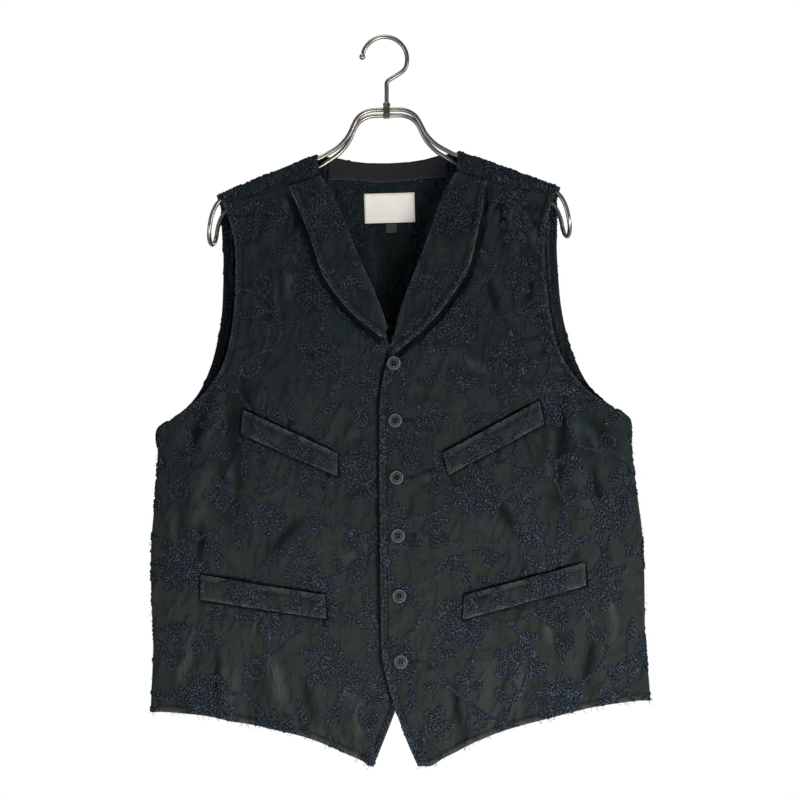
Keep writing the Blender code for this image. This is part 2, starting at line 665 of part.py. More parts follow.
def hanger_frame(collection, material):
    """The two shoulder wires, one closed loop that turns round at both shoulder ends."""
    steps = 2 * (len(WIRE_ROUTE) - 1)
    half = [spline(WIRE_ROUTE, k / 2.0) for k in range(steps + 1)]
    end_x, end_z = half[-1]
    spread = between(WIRE_SPREAD, end_x)
    drop = 2.0 * spread * math.tan(WIRE_PITCH)
    turn_steps = 6
    loop = []
    for side in (1.0, -1.0):
        front = [(CLIP_X + side * x, -between(WIRE_SPREAD, x), z) for x, z in half]
        back = [(x, -y, z + 2.0 * y * math.tan(WIRE_PITCH)) for x, y, z in front]
        turn = []
        for k in range(1, turn_steps):
            angle = math.pi * k / turn_steps
            x = mix(end_x, END_DROP_X, math.sin(angle))
            z = end_z - drop * k / turn_steps - spread * math.sin(angle)
            turn.append((CLIP_X + side * x, -spread * math.cos(angle), z))
        quarter = front[1:] + turn + back[:0:-1]
        if side > 0.0:
            loop += [front[0]] + quarter + [back[0]]
        else:
            loop += quarter[::-1]
    return wire_object("hanger_frame", [lean(*p) for p in loop], WIRE_R, True,
                       collection, material)


def hanger_hook(collection, material):
    """The hook: most of a circle whose inside touches the rail at the origin, and a stem."""
    centre_z = WIRE_R - HOOK_R
    points = []
    steps = 26
    for k in range(steps + 1):
        angle = math.radians(mix(HOOK_START_DEG, HOOK_END_DEG, k / steps))
        points.append((HOOK_R * math.cos(angle), centre_z + HOOK_R * math.sin(angle)))
    neck = [points[-1], *HOOK_NECK]
    for k in range(1, 2 * (len(neck) - 1) + 1):
        points.append(tuple(spline(neck, k / 2.0)))
    wire_object("hanger_hook", [Vector((x, 0.0, z)) * MM for x, z in points], WIRE_R, False,
                collection, material)
    away = math.radians(HOOK_START_DEG)
    ball_angle = away + (HOOK_BALL_R + GAP) / HOOK_R
    bpy.ops.mesh.primitive_uv_sphere_add(
        segments=12, ring_count=8, radius=HOOK_BALL_R * MM,
        location=(HOOK_R * math.cos(ball_angle) * MM, 0.0,
                  (centre_z + HOOK_R * math.sin(ball_angle)) * MM))
    ball = bpy.context.object
    ball.name = "hanger_hook_tip"
    ball.data.materials.append(material)
    for other in list(ball.users_collection):
        other.objects.unlink(ball)
    collection.objects.link(ball)


def hanger_clip(collection, cutters, material):
    """The block that holds both wires and the foot of the hook's stem."""
    spread = between(WIRE_SPREAD, 0.0)
    front_z = WIRE_ROUTE[0][1]
    back_z = front_z - 2.0 * spread * math.tan(WIRE_PITCH)
    centre = lean(CLIP_X, 0.0, 0.5 * (front_z + back_z) + 1.4)
    bpy.ops.mesh.primitive_cube_add(size=1.0, location=centre)
    clip = bpy.context.object
    clip.name = "hanger_clip"
    clip.data.materials.append(material)
    for vert in clip.data.vertices:
        vert.co = Vector(c * s * MM for c, s in zip(vert.co, CLIP_SIZE))
    for other in list(clip.users_collection):
        other.objects.unlink(clip)
    collection.objects.link(clip)
    rounded = clip.modifiers.new("rounded", "BEVEL")
    rounded.width = 1.6 * MM
    rounded.segments = 2
    along_x = (0.0, math.radians(90.0) - HANG_TILT, 0.0)
    for name, y, z in (("wire_hole_front", -spread, front_z), ("wire_hole_back", spread, back_z)):
        cut(clip, cylinder_cutter(name, CLIP_HOLE_R, 30.0, lean(CLIP_X, y, z), along_x, cutters))
    stem_x = HOOK_NECK[-1][0]
    depth = 14.0
    place = Vector((stem_x, 0.0, STEM_END_Z - GAP + 0.5 * depth)) * MM
    cut(clip, cylinder_cutter("stem_hole", CLIP_HOLE_R, depth, place, (0.0, 0.0, 0.0), cutters))


def main():
    clear_scene()
    parts = new_collection("embroidered_waistcoat")
    cutters = new_collection("cutters")
    cloth = principled("black cotton twill", "262A2B", 0.85)
    facing = principled("dark lining sateen", "2C2C31", 0.6)
    polyester = principled("dark polyester button", "3A3D40", 0.35)
    label = principled("white woven label", "DDDBD4", 0.8)
    tab = principled("grey woven tab", "4A4C4E", 0.8)
    steel = principled("gunmetal plated steel", "817D71", 0.3, 0.9)

    right = front_panel("front_right", -1.0, -1.0, FRONT_RIGHT_FOLDS, parts, cloth)
    left = front_panel("front_left", 1.0, 1.0, FRONT_LEFT_FOLDS, parts, cloth)
    back = back_panel(parts, cloth)
    lapel("lapel_right", -1.0, LAPEL_RIGHT_ROWS, right, parts, cloth)
    lapel("lapel_left", 1.0, LAPEL_LEFT_ROWS, left, parts, cloth)
    for name, welt in WELTS.items():
        if name.endswith("left"):
            pocket_welt(name, 1.0, welt, left, parts, cloth)
        else:
            pocket_welt(name, -1.0, welt, right, parts, cloth)
    neck_facing(back, parts, facing)
    armhole_facing("armhole_facing_right", -1.0, back, parts, facing)
    armhole_facing("armhole_facing_left", 1.0, back, parts, facing)
    patch("label", LABEL_CENTRE, LABEL_SIZE, LABEL_TURN, back, parts, label)
    patch("size_tab", TAB_CENTRE, TAB_SIZE, LABEL_TURN, back, parts, tab)
    for index in range(len(BUTTON_Z)):
        button(index, left, parts, cutters, polyester)
    hanger_frame(parts, steel)
    hanger_hook(parts, steel)
    hanger_clip(parts, cutters, steel)


main()
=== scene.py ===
"""Looks of the embroidered waistcoat that hangs on its steel hanger.

Axes as in the part: +Z up, -Y towards the viewer, +X towards the wearer's left. The cloth
is laid out upright in millimetres, as a pattern cutter would, and then leans a little
about the hanger's clip. In the tables of the two halves, x runs outwards from CLIP_X.
"""

import random
from collections import namedtuple
from math import atan2, ceil, cos, exp, floor, hypot, pi, radians, sin, sqrt, tan

import bmesh
import bpy
import numpy as np
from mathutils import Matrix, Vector, noise
from mathutils.bvhtree import BVHTree


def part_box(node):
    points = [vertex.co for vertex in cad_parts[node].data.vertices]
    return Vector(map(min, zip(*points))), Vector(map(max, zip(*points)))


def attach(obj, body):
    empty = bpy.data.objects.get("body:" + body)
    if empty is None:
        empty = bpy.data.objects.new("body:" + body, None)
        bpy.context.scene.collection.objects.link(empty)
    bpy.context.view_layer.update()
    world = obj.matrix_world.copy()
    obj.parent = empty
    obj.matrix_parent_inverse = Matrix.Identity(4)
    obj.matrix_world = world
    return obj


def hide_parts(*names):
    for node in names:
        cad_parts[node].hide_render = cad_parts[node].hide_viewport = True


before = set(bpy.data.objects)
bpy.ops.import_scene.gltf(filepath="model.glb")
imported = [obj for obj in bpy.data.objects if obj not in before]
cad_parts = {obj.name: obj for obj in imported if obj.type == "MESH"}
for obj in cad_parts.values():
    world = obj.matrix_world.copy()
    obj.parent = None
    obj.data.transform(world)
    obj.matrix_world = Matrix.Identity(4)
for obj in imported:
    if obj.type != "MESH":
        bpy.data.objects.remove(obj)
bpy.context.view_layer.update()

MM = 0.001
SIDES = {"left": 1.0, "right": -1.0}

# Hanger and the lean of everything that hangs below its clip
WIRE_R = 2.4
HOOK_R = 24.7
CLIP_X, CLIP_Z = 2.1, -78.1
HANG_TILT = radians(1.35)
WIRE_PITCH = radians(12.3)
STEM_END_Z = -75.8

# Cloth walls and the clearances between the sewn pieces
CLOTH_T = 1.6
FACING_T = 1.0
LABEL_T = 0.7
WELT_T = 2.0
GAP = 0.3
SEAM_HALF_GAP = 0.15
EDGE_TURN = 2.0
VENT_OPEN = 2.5
OVERLAP_SHIFT = 1.25
ROLL_INSET = 2.6
STEEPEST = 0.35
FACET_SLACK = 0.45
UNDERARM_Z = -424.0
UNDERARM_HALF = 262.0

# Photograph: camera place in millimetres and what 800 pixels take in at the garment
CAMERA_X, CAMERA_Y, CAMERA_Z = 16.83, -1800.0, -397.1
VIEW_WIDTH = 880.0
SENSOR = 36.0
FLOOR_Z = -1.62

# One row for each level of a front panel, from the hem up: the level and place of the
# front edge of the top and the under layer, and the side seam or armhole.
FrontRow = namedtuple("FrontRow", "edge_z top_x under_x side_x side_z")
FRONT_ROWS = [FrontRow(*row) for row in (
    (-792, 17.3, 30.8, 273.5, -733), (-768, 7.3, 20.6, 272.5, -712), (-742, -1.8, 9.8, 271, -690),
    (-710, -11, -3, 269.5, -661), (-672, -18.7, -19, 270, -625),
    (-625, -18.6, -21.3, 270.3, -587), (-578, -18.2, -21.3, 269, -548),
    (-531, -17.4, -21.3, 265, -510), (-484, -16.8, -21.3, 261.5, -477),
    (-440, -16, -21, 259.5, -449), (-397, -14.4, -20, 258.5, -424),
    (-365, -9.3, -9.3, 236, -409.5), (-338, 0, 0, 213, -393), (-310, 7.7, 7.7, 195, -373),
    (-284, 16.5, 16.5, 181, -348), (-254, 29, 29, 173.5, -318), (-225, 41, 41, 169.5, -288),
    (-200, 50, 50, 168, -258), (-180, 58.5, 58.5, 168, -232), (-164.5, 66, 66, 172, -206),
    (-149.7, 74.4, 74.4, 180, -178.9),
)]

# Back: half of it, from the hem up. The middle line and the side seam or armhole.
BackRow = namedtuple("BackRow", "middle_z side_x side_z")
BACK_ROWS = [BackRow(*row) for row in (
    (-722, 273.5, -733), (-703, 272.5, -712), (-682, 271, -690), (-654, 269.5, -661),
    (-619, 270, -625), (-582, 270.3, -587), (-543, 269, -548), (-505, 265, -510),
    (-470, 261.5, -477), (-439, 259.5, -449), (-408, 258.5, -424), (-378, 240, -410),
    (-350, 217.5, -386), (-322, 203.5, -358), (-292, 194.5, -328), (-262, 189, -298),
    (-231, 186.5, -266), (-200, 185.5, -234), (-168, 186.5, -206), (-133.7, 187, -183),
)]
NECK_SHARE = 0.375

# Top line of the back: the neckline, then the line behind the hanger's back wire
NECKLINE = ((0, -133.7), (23, -133), (41, -130.6), (55, -127.2), (70, -125.2))
NECK_Y = ((0, 21.5), (40, 20.5), (70, 17.2))
NECK_CORNER_X = 70
# The neck edge of the strap on its way over the shoulder, and how far it lies above the wires
StrapRow = namedtuple("StrapRow", "neck_x neck_lift end_x")
STRAP_ROWS = [StrapRow(*row) for row in (
    (71.5, 6, 187), (73.5, 4.5, 187), (77, 0.6, 187), (77, 0.3, 186), (76.4, 0, 183.5),
    (74.4, 0, 180),
)]
SHOULDER_SEAM = ((74.4, -149.7), (106, -160), (127, -166.5), (165, -175.5), (180, -178.9))
HEM = ((0, -795), (31, -792), (44, -784.5), (57, -778.5), (80, -767.5), (103, -758.5), (130, -751.5),
    (155, -746), (181, -740.5), (207, -735.5), (233, -733), (260, -731.8), (273.5, -733))

# How far the front and the back stand off the side seams' plane, by height
FRONT_DEPTH = ((-795, 37), (-733, 38.5), (-560, 39), (-424, 38), (-330, 35), (-260, 30), (-200, 24),
    (-150, 19))
BACK_DEPTH = ((-735, 37), (-560, 38), (-424, 35), (-300, 30), (-200, 25), (-133, 21.5))
LENS_POWER, LENS_ROUND = 2.4, 0.62

# The front wire of the hanger outwards from the clip, and half the spread of the wires
WIRE_ROUTE = ((0, -79.3), (9, -79.3), (18, -79.8), (26, -82.6), (32, -87.4), (36.4, -94.6), (42.5, -106.8),
    (52.5, -118), (64, -125.5), (76.6, -132), (107.5, -143.6), (149, -160), (176, -170.7), (184.5, -176.4),
    (190, -184), (193.8, -194), (195.6, -203.5))
CLOTH_LINE = ((0, -79.3), (52.5, -118), (64, -125.5), (76.6, -132), (107.5, -143.6), (149, -160),
    (176, -170.7), (190, -176.4))
WIRE_SPREAD = ((0, 8), (34, 8), (52, 9.5), (77, 12), (130, 15), (176, 17), (200, 17))
END_DROP_X = 198.3

# Hook route below its circle, from the viewer's right back to the stem
HOOK_START_DEG, HOOK_END_DEG = 165.0, -8.0
HOOK_NECK = ((23.2, -31), (19.6, -35.4), (14.2, -39.4), (7.6, -43.4), (3.6, -46.2), (2.2, -49.6),
    (2.2, -56), (2.2, -66), (2.2, STEM_END_Z))

# Folds: from one end to the other, half the width, and the height (troughs below zero)
Fold = namedtuple("Fold", "x0 z0 x1 z1 width height")
FRONT_RIGHT_FOLDS = [Fold(*row) for row in (
    (116, -172, 137, -214, 10, 3.2), (100, -240, 101, -276, 11, -2.4),
    (131, -276, 132, -306, 11, -2.2), (166, -380, 190, -512, 14, -5),
    (190, -400, 214, -520, 14, 3.2), (234, -470, 238, -535, 12, -3),
    (184, -690, 187, -738, 13, 4), (158, -680, 156, -742, 12, -2.8),
)]
FRONT_LEFT_FOLDS = [Fold(*row) for row in (
    (109, -168, 96, -236, 10, 3), (131, -174, 156, -250, 10, 2.6),
    (148, -190, 146, -246, 9, -2.4), (180, -404, 178, -510, 13, -5),
    (224, -430, 250, -470, 12, -3.4), (174, -636, 172, -662, 11, -3), (96, -690, 92, -750, 14, 3),
)]
BACK_FOLDS = [Fold(*row) for row in (
    (-60, -190, -78, -330, 14, -4), (70, -200, 58, -360, 15, -4.2),
    (-150, -400, -122, -560, 16, -5), (140, -420, 166, -600, 16, -4.6),
    (2, -480, 10, -690, 19, 4), (-202, -600, -206, -728, 14, 3.6),
    (214, -570, 202, -724, 14, 3.4),
)]

# Lapels: the fold line on the front's edge and the free edge opposite it
LapelRow = namedtuple("LapelRow", "fold_x fold_z free_x free_z")
LAPEL_LEFT_ROWS = [LapelRow(*row) for row in (
    (-1, -339.5, 4.5, -345.5), (3.4, -326, 12.7, -339.2), (9.3, -304, 30, -325.5),
    (16.5, -284, 50, -306), (23, -268, 67.4, -284), (30.5, -250.5, 80, -266),
    (37.5, -233.5, 88.5, -245), (44.2, -216, 94, -224), (51.8, -196, 99, -202),
    (59.8, -177, 102.5, -182), (66.7, -163, 105, -171), (73.9, -150.6, 107.5, -161.2),
)]
LAPEL_RIGHT_ROWS = [LapelRow(*row) for row in (
    (4.8, -321, 11, -329.5), (9.3, -304, 29, -315), (16.5, -284, 44, -301), (23, -268, 57, -285),
    (30.5, -250.5, 67.5, -270), (37.5, -233.5, 76, -252), (44.2, -216, 81.5, -233),
    (51.8, -196, 88.5, -212), (59.8, -177, 96, -191), (66.7, -163, 102.5, -176),
    (73.9, -150.6, 108.5, -162.5),
)]
LAPEL_REST = 0.5 * CLOTH_T + GAP + 0.5 * CLOTH_T + 0.25
LAPEL_LIFT = 4.6
# Across a lapel: how far along, and how far back the roll lies behind its resting height
LapelColumn = namedtuple("LapelColumn", "across roll inset")
LAPEL_COLUMNS = (LapelColumn(0, 2.4, 0), LapelColumn(0, 0.9, 0.1), LapelColumn(0.05, 0, 0),
    LapelColumn(0.3, 0, 0), LapelColumn(0.6, 0, 0), LapelColumn(1, 0, 0))

# Pocket welts: the corners of each, upper edge first, and how far the mouth gapes
Welt = namedtuple("Welt", "in_top out_top out_low in_low")
WELTS = {"welt_chest_right": Welt((61.7, -452.9), (162.5, -404), (165, -430), (62.3, -477.3)),
    "welt_chest_left": Welt((52.5, -455), (157.4, -401.7), (161.4, -426.8), (57.5, -479)),
    "welt_hip_right": Welt((78.7, -605), (212.8, -581.7), (213.8, -608), (77.6, -630.4)),
    "welt_hip_left": Welt((71.7, -608.5), (202.3, -578.2), (203.6, -602.5), (69, -634.8))}
WELT_GAPE = 1.6

# Linings that show inside: neck facing, armhole facings, label and size tab
FACING_HALF = 67.0
FACING_LOW = ((0, -154.8), (12, -154.9), (25, -153.6), (45, -151.6), (67, -151))
LABEL_RIM = 1.6
LABEL_CENTRE, LABEL_SIZE, LABEL_TURN = (2.8, -183.4), (56, 32.6), radians(0.3)
TAB_CENTRE, TAB_SIZE = (4, -205.6), (12.2, 10.4)

# Flowers of the repeat: place, number of petals, their length, and how far it is turned
REPEAT_SEED = 11
ROSETTES = ((58, 66, 11, 23, 0.2), (206, 38, 10, 21, 0.6), (150, 168, 12, 24, 0.1),
    (262, 214, 10, 22, 0.4), (42, 254, 11, 22, 0.5))
SMALL_FLOWERS = ((116, 22, 5, 0.3), (252, 118, 6, 0.9), (90, 212, 5, 0.1), (203, 282, 5, 0.6),
    (120, 296, 6, 0.2), (8, 150, 5, 1.1))
VINES = (((66, 92), (98, 106), (96, 138), (60, 160), (22, 188), (2, 222), (18, 246)),
    ((174, 186), (196, 206), (200, 232), (178, 258), (174, 292), (196, 322), (204, 344)),
    ((160, 142), (176, 112), (214, 104), (232, 84), (216, 60)), ((240, 200), (228, 176), (248, 152),
    (284, 140), (312, 112), (342, 92)), ((66, 266), (82, 254), (116, 262), (146, 284), (148, 318),
    (128, 340), (118, 350)), ((272, 238), (292, 262), (284, 292), (250, 306), (246, 336), (268, 362),
    (300, 372), (334, 384)), ((126, 160), (104, 176), (92, 196)),
    ((182, 40), (156, 52), (140, 78), (112, 74), (86, 66)))
GROWTH_PITCH = 25
LEAF_L, LEAF_W = 31, 10.5
YARN_H, SINK = 1.4, 0.2
COVER_REACH = 5
WEAR_REACH = 2
FRONT_GRID_WIDTH, BACK_GRID_WIDTH = 230, 250
ARMHOLE_FACING_LEVELS, ARMHOLE_FACING_W = (12, 18), 11.5

# Buttons: height of each, how each is turned, and their four holes
BUTTON_X = 3.6
BUTTON_Z = (-357.6, -419.2, -480.5, -542.9, -607.7, -678.3)
BUTTON_SPINS = (8.0, -14.0, 30.0, 4.0, -22.0, 16.0)
HOLE_OUT, HOLE_R = 2.05, 1.3
HOLE_FROM, HOLE_TO = 0.0, 18.5
BAR_PITCH, BAR_L, BAR_R = 0.95, 1.9, 0.42

# Loose threads: how many at each hem and armhole, and how long the longest are
LOOSE_THREADS, LOOSE_LENGTH, LOOSE_R, LOOSE_H = 150, 7.0, 0.17, 0.2

# Stitched arc inside the back, below the neck facing
YOKE_ARC = ((-62, -154), (-52, -160.5), (-41, -167), (-22, -177), (2, -184), (20, -185), (36, -181),
    (55, -168.5), (66, -154))

YOKE_POINTS = 49

# Studio
FLOOR_SIZE = 5.0
AMBIENT = 0.16
KEY_WATTS, GRAZING_WATTS, FILL_WATTS = 27.0, 26.0, 17.0
BEHIND_WATTS, ABOVE_WATTS = 26.0, 10.0

# Where the repeat starts on each piece, so that each is cut from another part of the cloth
EMBROIDERY_FROM = {"left": (34.0, 96.0), "right": (-118.0, 20.0), "back": (60.0, 150.0),
    "lapel": (12.0, 70.0), "welt": (-40.0, 30.0)}
# The inner face of the back has yarn above this height and behind this depth
INSIDE_LOW, INSIDE_DEPTH = -405.0, 4.0

# Finer creases of the washed cotton, laid over the folds that the solids have
RIGHT_CREASES = [Fold(*row) for row in (
    (111, -176, 120, -206, 4.3, 1.6), (98, -182, 104, -214, 3.8, -1.1),
    (128, -184, 146, -226, 4.8, -1.4), (112, -236, 108, -290, 5.4, 1.5),
    (88, -250, 84, -300, 4.8, -1.2), (124, -262, 122, -318, 4.8, 1.3),
    (60, -335, 96, -352, 5.9, -1.1), (186, -398, 206, -430, 5.9, 2),
    (205, -410, 226, -452, 6.4, -1.7), (176, -452, 186, -520, 5.9, 1.7),
    (210, -520, 214, -574, 6.9, -1.4), (244, -500, 246, -560, 5.9, 1.4),
    (20, -424, 58, -438, 4.3, 0.9), (18, -485, 54, -500, 4.8, -0.9),
    (96, -520, 140, -560, 7.8, -1.2), (20, -548, 62, -571, 4.8, 0.9),
    (222, -640, 240, -700, 6.9, 1.6), (196, -668, 198, -722, 4.8, -1.6),
    (140, -664, 128, -724, 6.9, 1.4), (104, -690, 96, -742, 6.9, -1.1),
    (52, -700, 44, -762, 6.9, 1.1),
)]
LEFT_CREASES = [Fold(*row) for row in (
    (104, -172, 99, -210, 4.3, 1.5), (121, -178, 126, -220, 4.3, -1.4),
    (141, -186, 160, -236, 4.8, 1.6), (132, -196, 138, -262, 4.8, 1.4),
    (152, -256, 150, -300, 5.4, -1.3), (104, -262, 116, -312, 5.9, -1.2),
    (70, -350, 108, -372, 5.9, 1.1), (190, -400, 200, -446, 5.4, 1.7),
    (170, -430, 166, -492, 4.8, 1.6), (206, -428, 232, -462, 5.9, 1.9),
    (214, -470, 226, -528, 6.9, -1.3), (22, -410, 48, -399, 3.8, 1.1),
    (22, -424, 52, -431, 4.3, -1.2), (22, -484, 60, -476, 4.3, 1.1),
    (100, -500, 132, -548, 7.8, -1.2), (230, -600, 236, -668, 6.9, 1.3),
    (160, -632, 162, -668, 4.8, 1.3), (210, -660, 204, -716, 6.9, -1.3),
    (130, -680, 122, -738, 7.8, 1.3), (60, -700, 64, -764, 6.9, -1.1),
)]
BACK_CREASES = [Fold(*row) for row in (
    (-96, -176, -112, -262, 5.9, 1.7), (-128, -184, -134, -276, 5.9, -1.5),
    (-24, -196, -20, -330, 6.9, 1.4), (30, -184, 34, -290, 5.9, -1.3),
    (104, -178, 122, -284, 6.4, 1.7), (146, -196, 150, -290, 5.9, -1.4),
    (-210, -424, -176, -486, 6.9, 2), (-232, -440, -204, -520, 6.9, -1.7),
    (208, -424, 182, -500, 6.9, 2), (236, -446, 214, -530, 6.9, -1.6),
    (-90, -380, -84, -500, 7.8, 1.4), (84, -400, 96, -530, 7.8, -1.5),
    (-40, -420, -46, -590, 8.8, -1.4), (40, -520, 48, -660, 8.8, 1.5),
    (-100, -570, -96, -700, 8.8, 1.6), (-160, -590, -158, -716, 7.8, -1.5),
    (110, -600, 104, -710, 8.8, -1.4), (168, -600, 160, -720, 7.8, 1.6),
    (-236, -600, -240, -704, 6.9, 1.3), (240, -590, 238, -700, 6.9, -1.3),
)]

# Grid of the fine cloth: spacing between columns, steps to a row of the tables, and how
# far in from an edge the extra columns and rows of its turned, stitched border lie
COLUMN_STEP, BACK_COLUMN_STEP = 2.7, 4.0
ROW_STEPS, BACK_ROW_STEPS = 10, 8
BORDER = (0.0, 1.4, 2.8, 4.4, 5.8, 7.0, 8.2, 9.6, 11.6, 14.6)
STITCH_IN = 7.2
BORDER_SWELL, BORDER_GROOVE = 0.2, 0.8
RUMPLE = 0.55
PUCKER = 0.6
CREASE_WAVER = 5.0
# Grooves along the edges of what lies on a front, painted dark as the shadows those edges cast: their
# depth, width and how far out from the edge they lie, and the wider one under a lapel
SHADOW_GROOVE_DEPTH, SHADOW_GROOVE_W, SHADOW_GROOVE_OUT = 1.8, 2.2, 1.6
LAPEL_SHADOW_GROOVE_W = 5.0
# The wire's end loops: how far in the back wire turns, from how far before the end, and
# how deep the loop hangs for its width
LOOP_INSET, LOOP_INSET_FROM, LOOP_DEPTH = 3.4, 42.0, 0.78
YARN_CLEAR = 0.55
# Painted shade and highlight of the cloth's relief: the height of a full ridge, how much paler ridges are
# painted, and how much darker valleys and grooves are painted
CREST_HEIGHT = 1.1
CREST_WEAR_AND_HIGHLIGHT, VALLEY_PAINTED_SHADE = 1.32, 0.25
# Heights between which the cloth and its yarn go from their darkest painted shade, high up, to their
# palest painted light, low down
LIT_LOW_Z, SHADED_TOP_Z = -640.0, -250.0
WRINKLE_MM = 34.0

# Sewing: a stitch's length, the space it takes along the seam, and its thread
STITCH_L, STITCH_PITCH, STITCH_R, STITCH_H = 2.3, 3.1, 0.34, 0.4
LABEL_STITCH_L, LABEL_STITCH_PITCH, LABEL_STITCH_R, LABEL_STITCH_H = 1.8, 2.4, 0.26, 0.3
CROSS_R, CROSS_H = 0.24, 0.36
HEM_STITCH_IN, STRAP_STITCH_IN, FACING_STITCH_IN = STITCH_IN - 1.4, 2.6, 2.0
# Looped yarn along the edges: how far in it lies, and the widest gap in it
FRONT_EDGE_IN, FRONT_EDGE_GAP = (2.2, 4.9), 8.0
SIDE_EDGE_IN, SIDE_EDGE_GAP = 3.0, 22.0
LAPEL_EDGE_IN, LAPEL_EDGE_GAP = 3.2, 16.0
FACING_EDGE_IN, FACING_EDGE_GAP = (3.0, 5.6), 24.0
# Share of a front's and of the back's rows at which the seams of the edges start or end
EDGE_YARN_END, EDGE_SEAM_END, ARMHOLE_FROM = 0.53, 0.56, 0.53

# Embroidery: its repeat, the width and spacing of its thread, and the size of its loops
REPEAT_W, REPEAT_H = 300.0, 330.0
YARN_R, YARN_PITCH = 1.25, 2.7
YARN_STEP = 1.25
LOOP_WAVE, LOOP_SWING = 5.6, 1.05
LOOP_DIP, LOOP_STATIONS = 0.28, 4


def between(table, at):
    """Value of a two-column table at a place, straight between its rows."""
    if at <= table[0][0]:
        return table[0][1]
    for (x0, y0), (x1, y1) in zip(table, table[1:]):
        if at <= x1:
            return y0 + (y1 - y0) * (at - x0) / (x1 - x0)
    return table[-1][1]


def clamp(share):
    return min(1.0, max(0.0, share))


def ease(low, high, at):
    """0 below low, 1 above high, smooth between them."""
    t = clamp((at - low) / (high - low))
    return t * t * (3.0 - 2 * t)


def mix(a, b, t):
    return a + (b - a) * t


def wobble(a, b, c):
    """Smooth noise at a place, between about -1 and 1."""
    return noise.noise(Vector((a, b, c)))


def spline(rows, t):
    """Catmull-Rom curve through rows of numbers, with t counted in rows."""
    k = min(int(t), len(rows) - 2)
    u = t - k
    before = rows[max(k - 1, 0)]
    after = rows[min(k + 2, len(rows) - 1)]
    values = []
    for a, b, c, d in zip(before, rows[k], rows[k + 1], after):
        values.append(0.5 * (2 * b + (c - a) * u + (2 * a - 5 * b + 4 * c - d) * u * u
            + (3 * b - a - 3 * c + d) * u ** 3))
    return values


def lens(depth, half_share):
    """Depth of the hanging garment's flat, almond-shaped section."""
    share = min(1.0, abs(half_share))
    return EDGE_TURN + (depth - EDGE_TURN) * (1 - share ** LENS_POWER) ** LENS_ROUND


def half_width(z):
    table = [(row.side_z, row.side_x) for row in FRONT_ROWS if row.side_z < UNDERARM_Z]
    return between(table + [(UNDERARM_Z, UNDERARM_HALF)], z)


def fold_height(folds, x, z):
    """Sum of the soft ridges and troughs at a place on a panel."""
    total = 0.0
    for fold in folds:
        dx, dz = fold.x1 - fold.x0, fold.z1 - fold.z0
        along = ((x - fold.x0) * dx + (z - fold.z0) * dz) / (dx * dx + dz * dz)
        along = clamp(along)
        away = hypot(x - fold.x0 - along * dx, z - fold.z0 - along * dz)
        total += fold.height * exp(-(away / fold.width) ** 2)
    return total


def away_from_line(x0, z0, x1, z1, x, z):
    """Over a grid: distance to a straight line and the share of the way along it."""
    dx, dz = x1 - x0, z1 - z0
    along = np.clip(((x - x0) * dx + (z - z0) * dz) / (dx * dx + dz * dz), 0.0, 1.0)
    return np.hypot(x - x0 - along * dx, z - z0 - along * dz), along


def crease_heights(creases, x, z, seed):
    """Over a grid: the finer creases, wavering, pinched, and running out at both ends."""
    waver = np.array([[wobble(a / 26.0, b / 34.0, seed) for a, b in zip(*row)] for row in zip(x, z)])
    total = np.zeros_like(x)
    for fold in creases:
        away, along = away_from_line(*fold[:4], x + CREASE_WAVER * waver, z)
        pinch = np.exp(-(away / fold.width) ** 2) - 0.35 * np.exp(-(away / fold.width / 2.4) ** 2)
        total += 1.5 * fold.height * pinch * np.sin(pi * np.clip(along, 0.02, 0.98)) ** 0.6
    return total


def shadow_grooves(lines, x, z):
    """Over a grid: grooves pressed in along the edges of what lies on a panel, which the cloth material
    paints dark as the shadows those edges cast.
    """
    nearest = np.full_like(x, 99.0)
    for line, width in lines:
        for (x0, z0), (x1, z1) in zip(line, line[1:]):
            nearest = np.minimum(nearest, away_from_line(x0, z0, x1, z1, x, z)[0] / width)
    return -SHADOW_GROOVE_DEPTH * np.exp(-nearest ** 2)


def out_of_grooves(points, side, lines):
    """Which points of a front lie clear of its grooves; yarn is left out of them so that their painted
    shadow stays unbroken.
    """
    depth = shadow_grooves(lines, side * (points[:, 0] - CLIP_X), points[:, 2])
    return depth > -YARN_CLEAR * SHADOW_GROOVE_DEPTH


def cloth_radius():
    """From a wire's centre to the corners of the cloth's section where it lies on it."""
    return WIRE_R + GAP + 0.5 * CLOTH_T + FACET_SLACK


def front_shoulder_y(x):
    return between(WIRE_SPREAD, x) + cloth_radius() + 0.8


def front_y(x, z, layer, folds):
    """Middle surface of a front panel; layer is 1 on top at the buttons, -1 under."""
    ring = lens(between(FRONT_DEPTH, z), x / half_width(z))
    below_seam = between(SHOULDER_SEAM, x) - z
    near_seam = 1 - ease(0.0, 90.0, below_seam)
    y = mix(ring, front_shoulder_y(x), near_seam)
    at_edge = (1 - ease(25.0, 75.0, abs(x))) * (1 - ease(-335.0, -290.0, z))
    away_from_side = 1 - ease(0.82, 0.97, abs(x) / half_width(z))
    y += layer * OVERLAP_SHIFT * at_edge
    y += fold_height(folds, x, z) * away_from_side * (1 - near_seam ** 2)
    return -y


def arch_point(step, x, lift):
    """Section of the strap over the two wires, from behind the back one to the front seam."""
    spread = between(WIRE_SPREAD, x)
    front_z = between(CLOTH_LINE, x)
    back_z = front_z - 2 * spread * tan(WIRE_PITCH)
    radius = cloth_radius()
    up_y, up_z = radius * sin(WIRE_PITCH), radius * cos(WIRE_PITCH)
    slant = radius * sqrt(0.5)
    section = ((spread + slant, back_z + slant), (spread + up_y, back_z + up_z),
        (-spread + up_y - 1.2, front_z + up_z), (-spread - 0.75 * radius, front_z + 0.66 * radius),
        (-spread - radius - 0.2, front_z - 1.5),
        (-front_shoulder_y(x), between(SHOULDER_SEAM, x) + 0.5 * (GAP + 0.1)))
    y, z = section[step]
    return y, z + lift


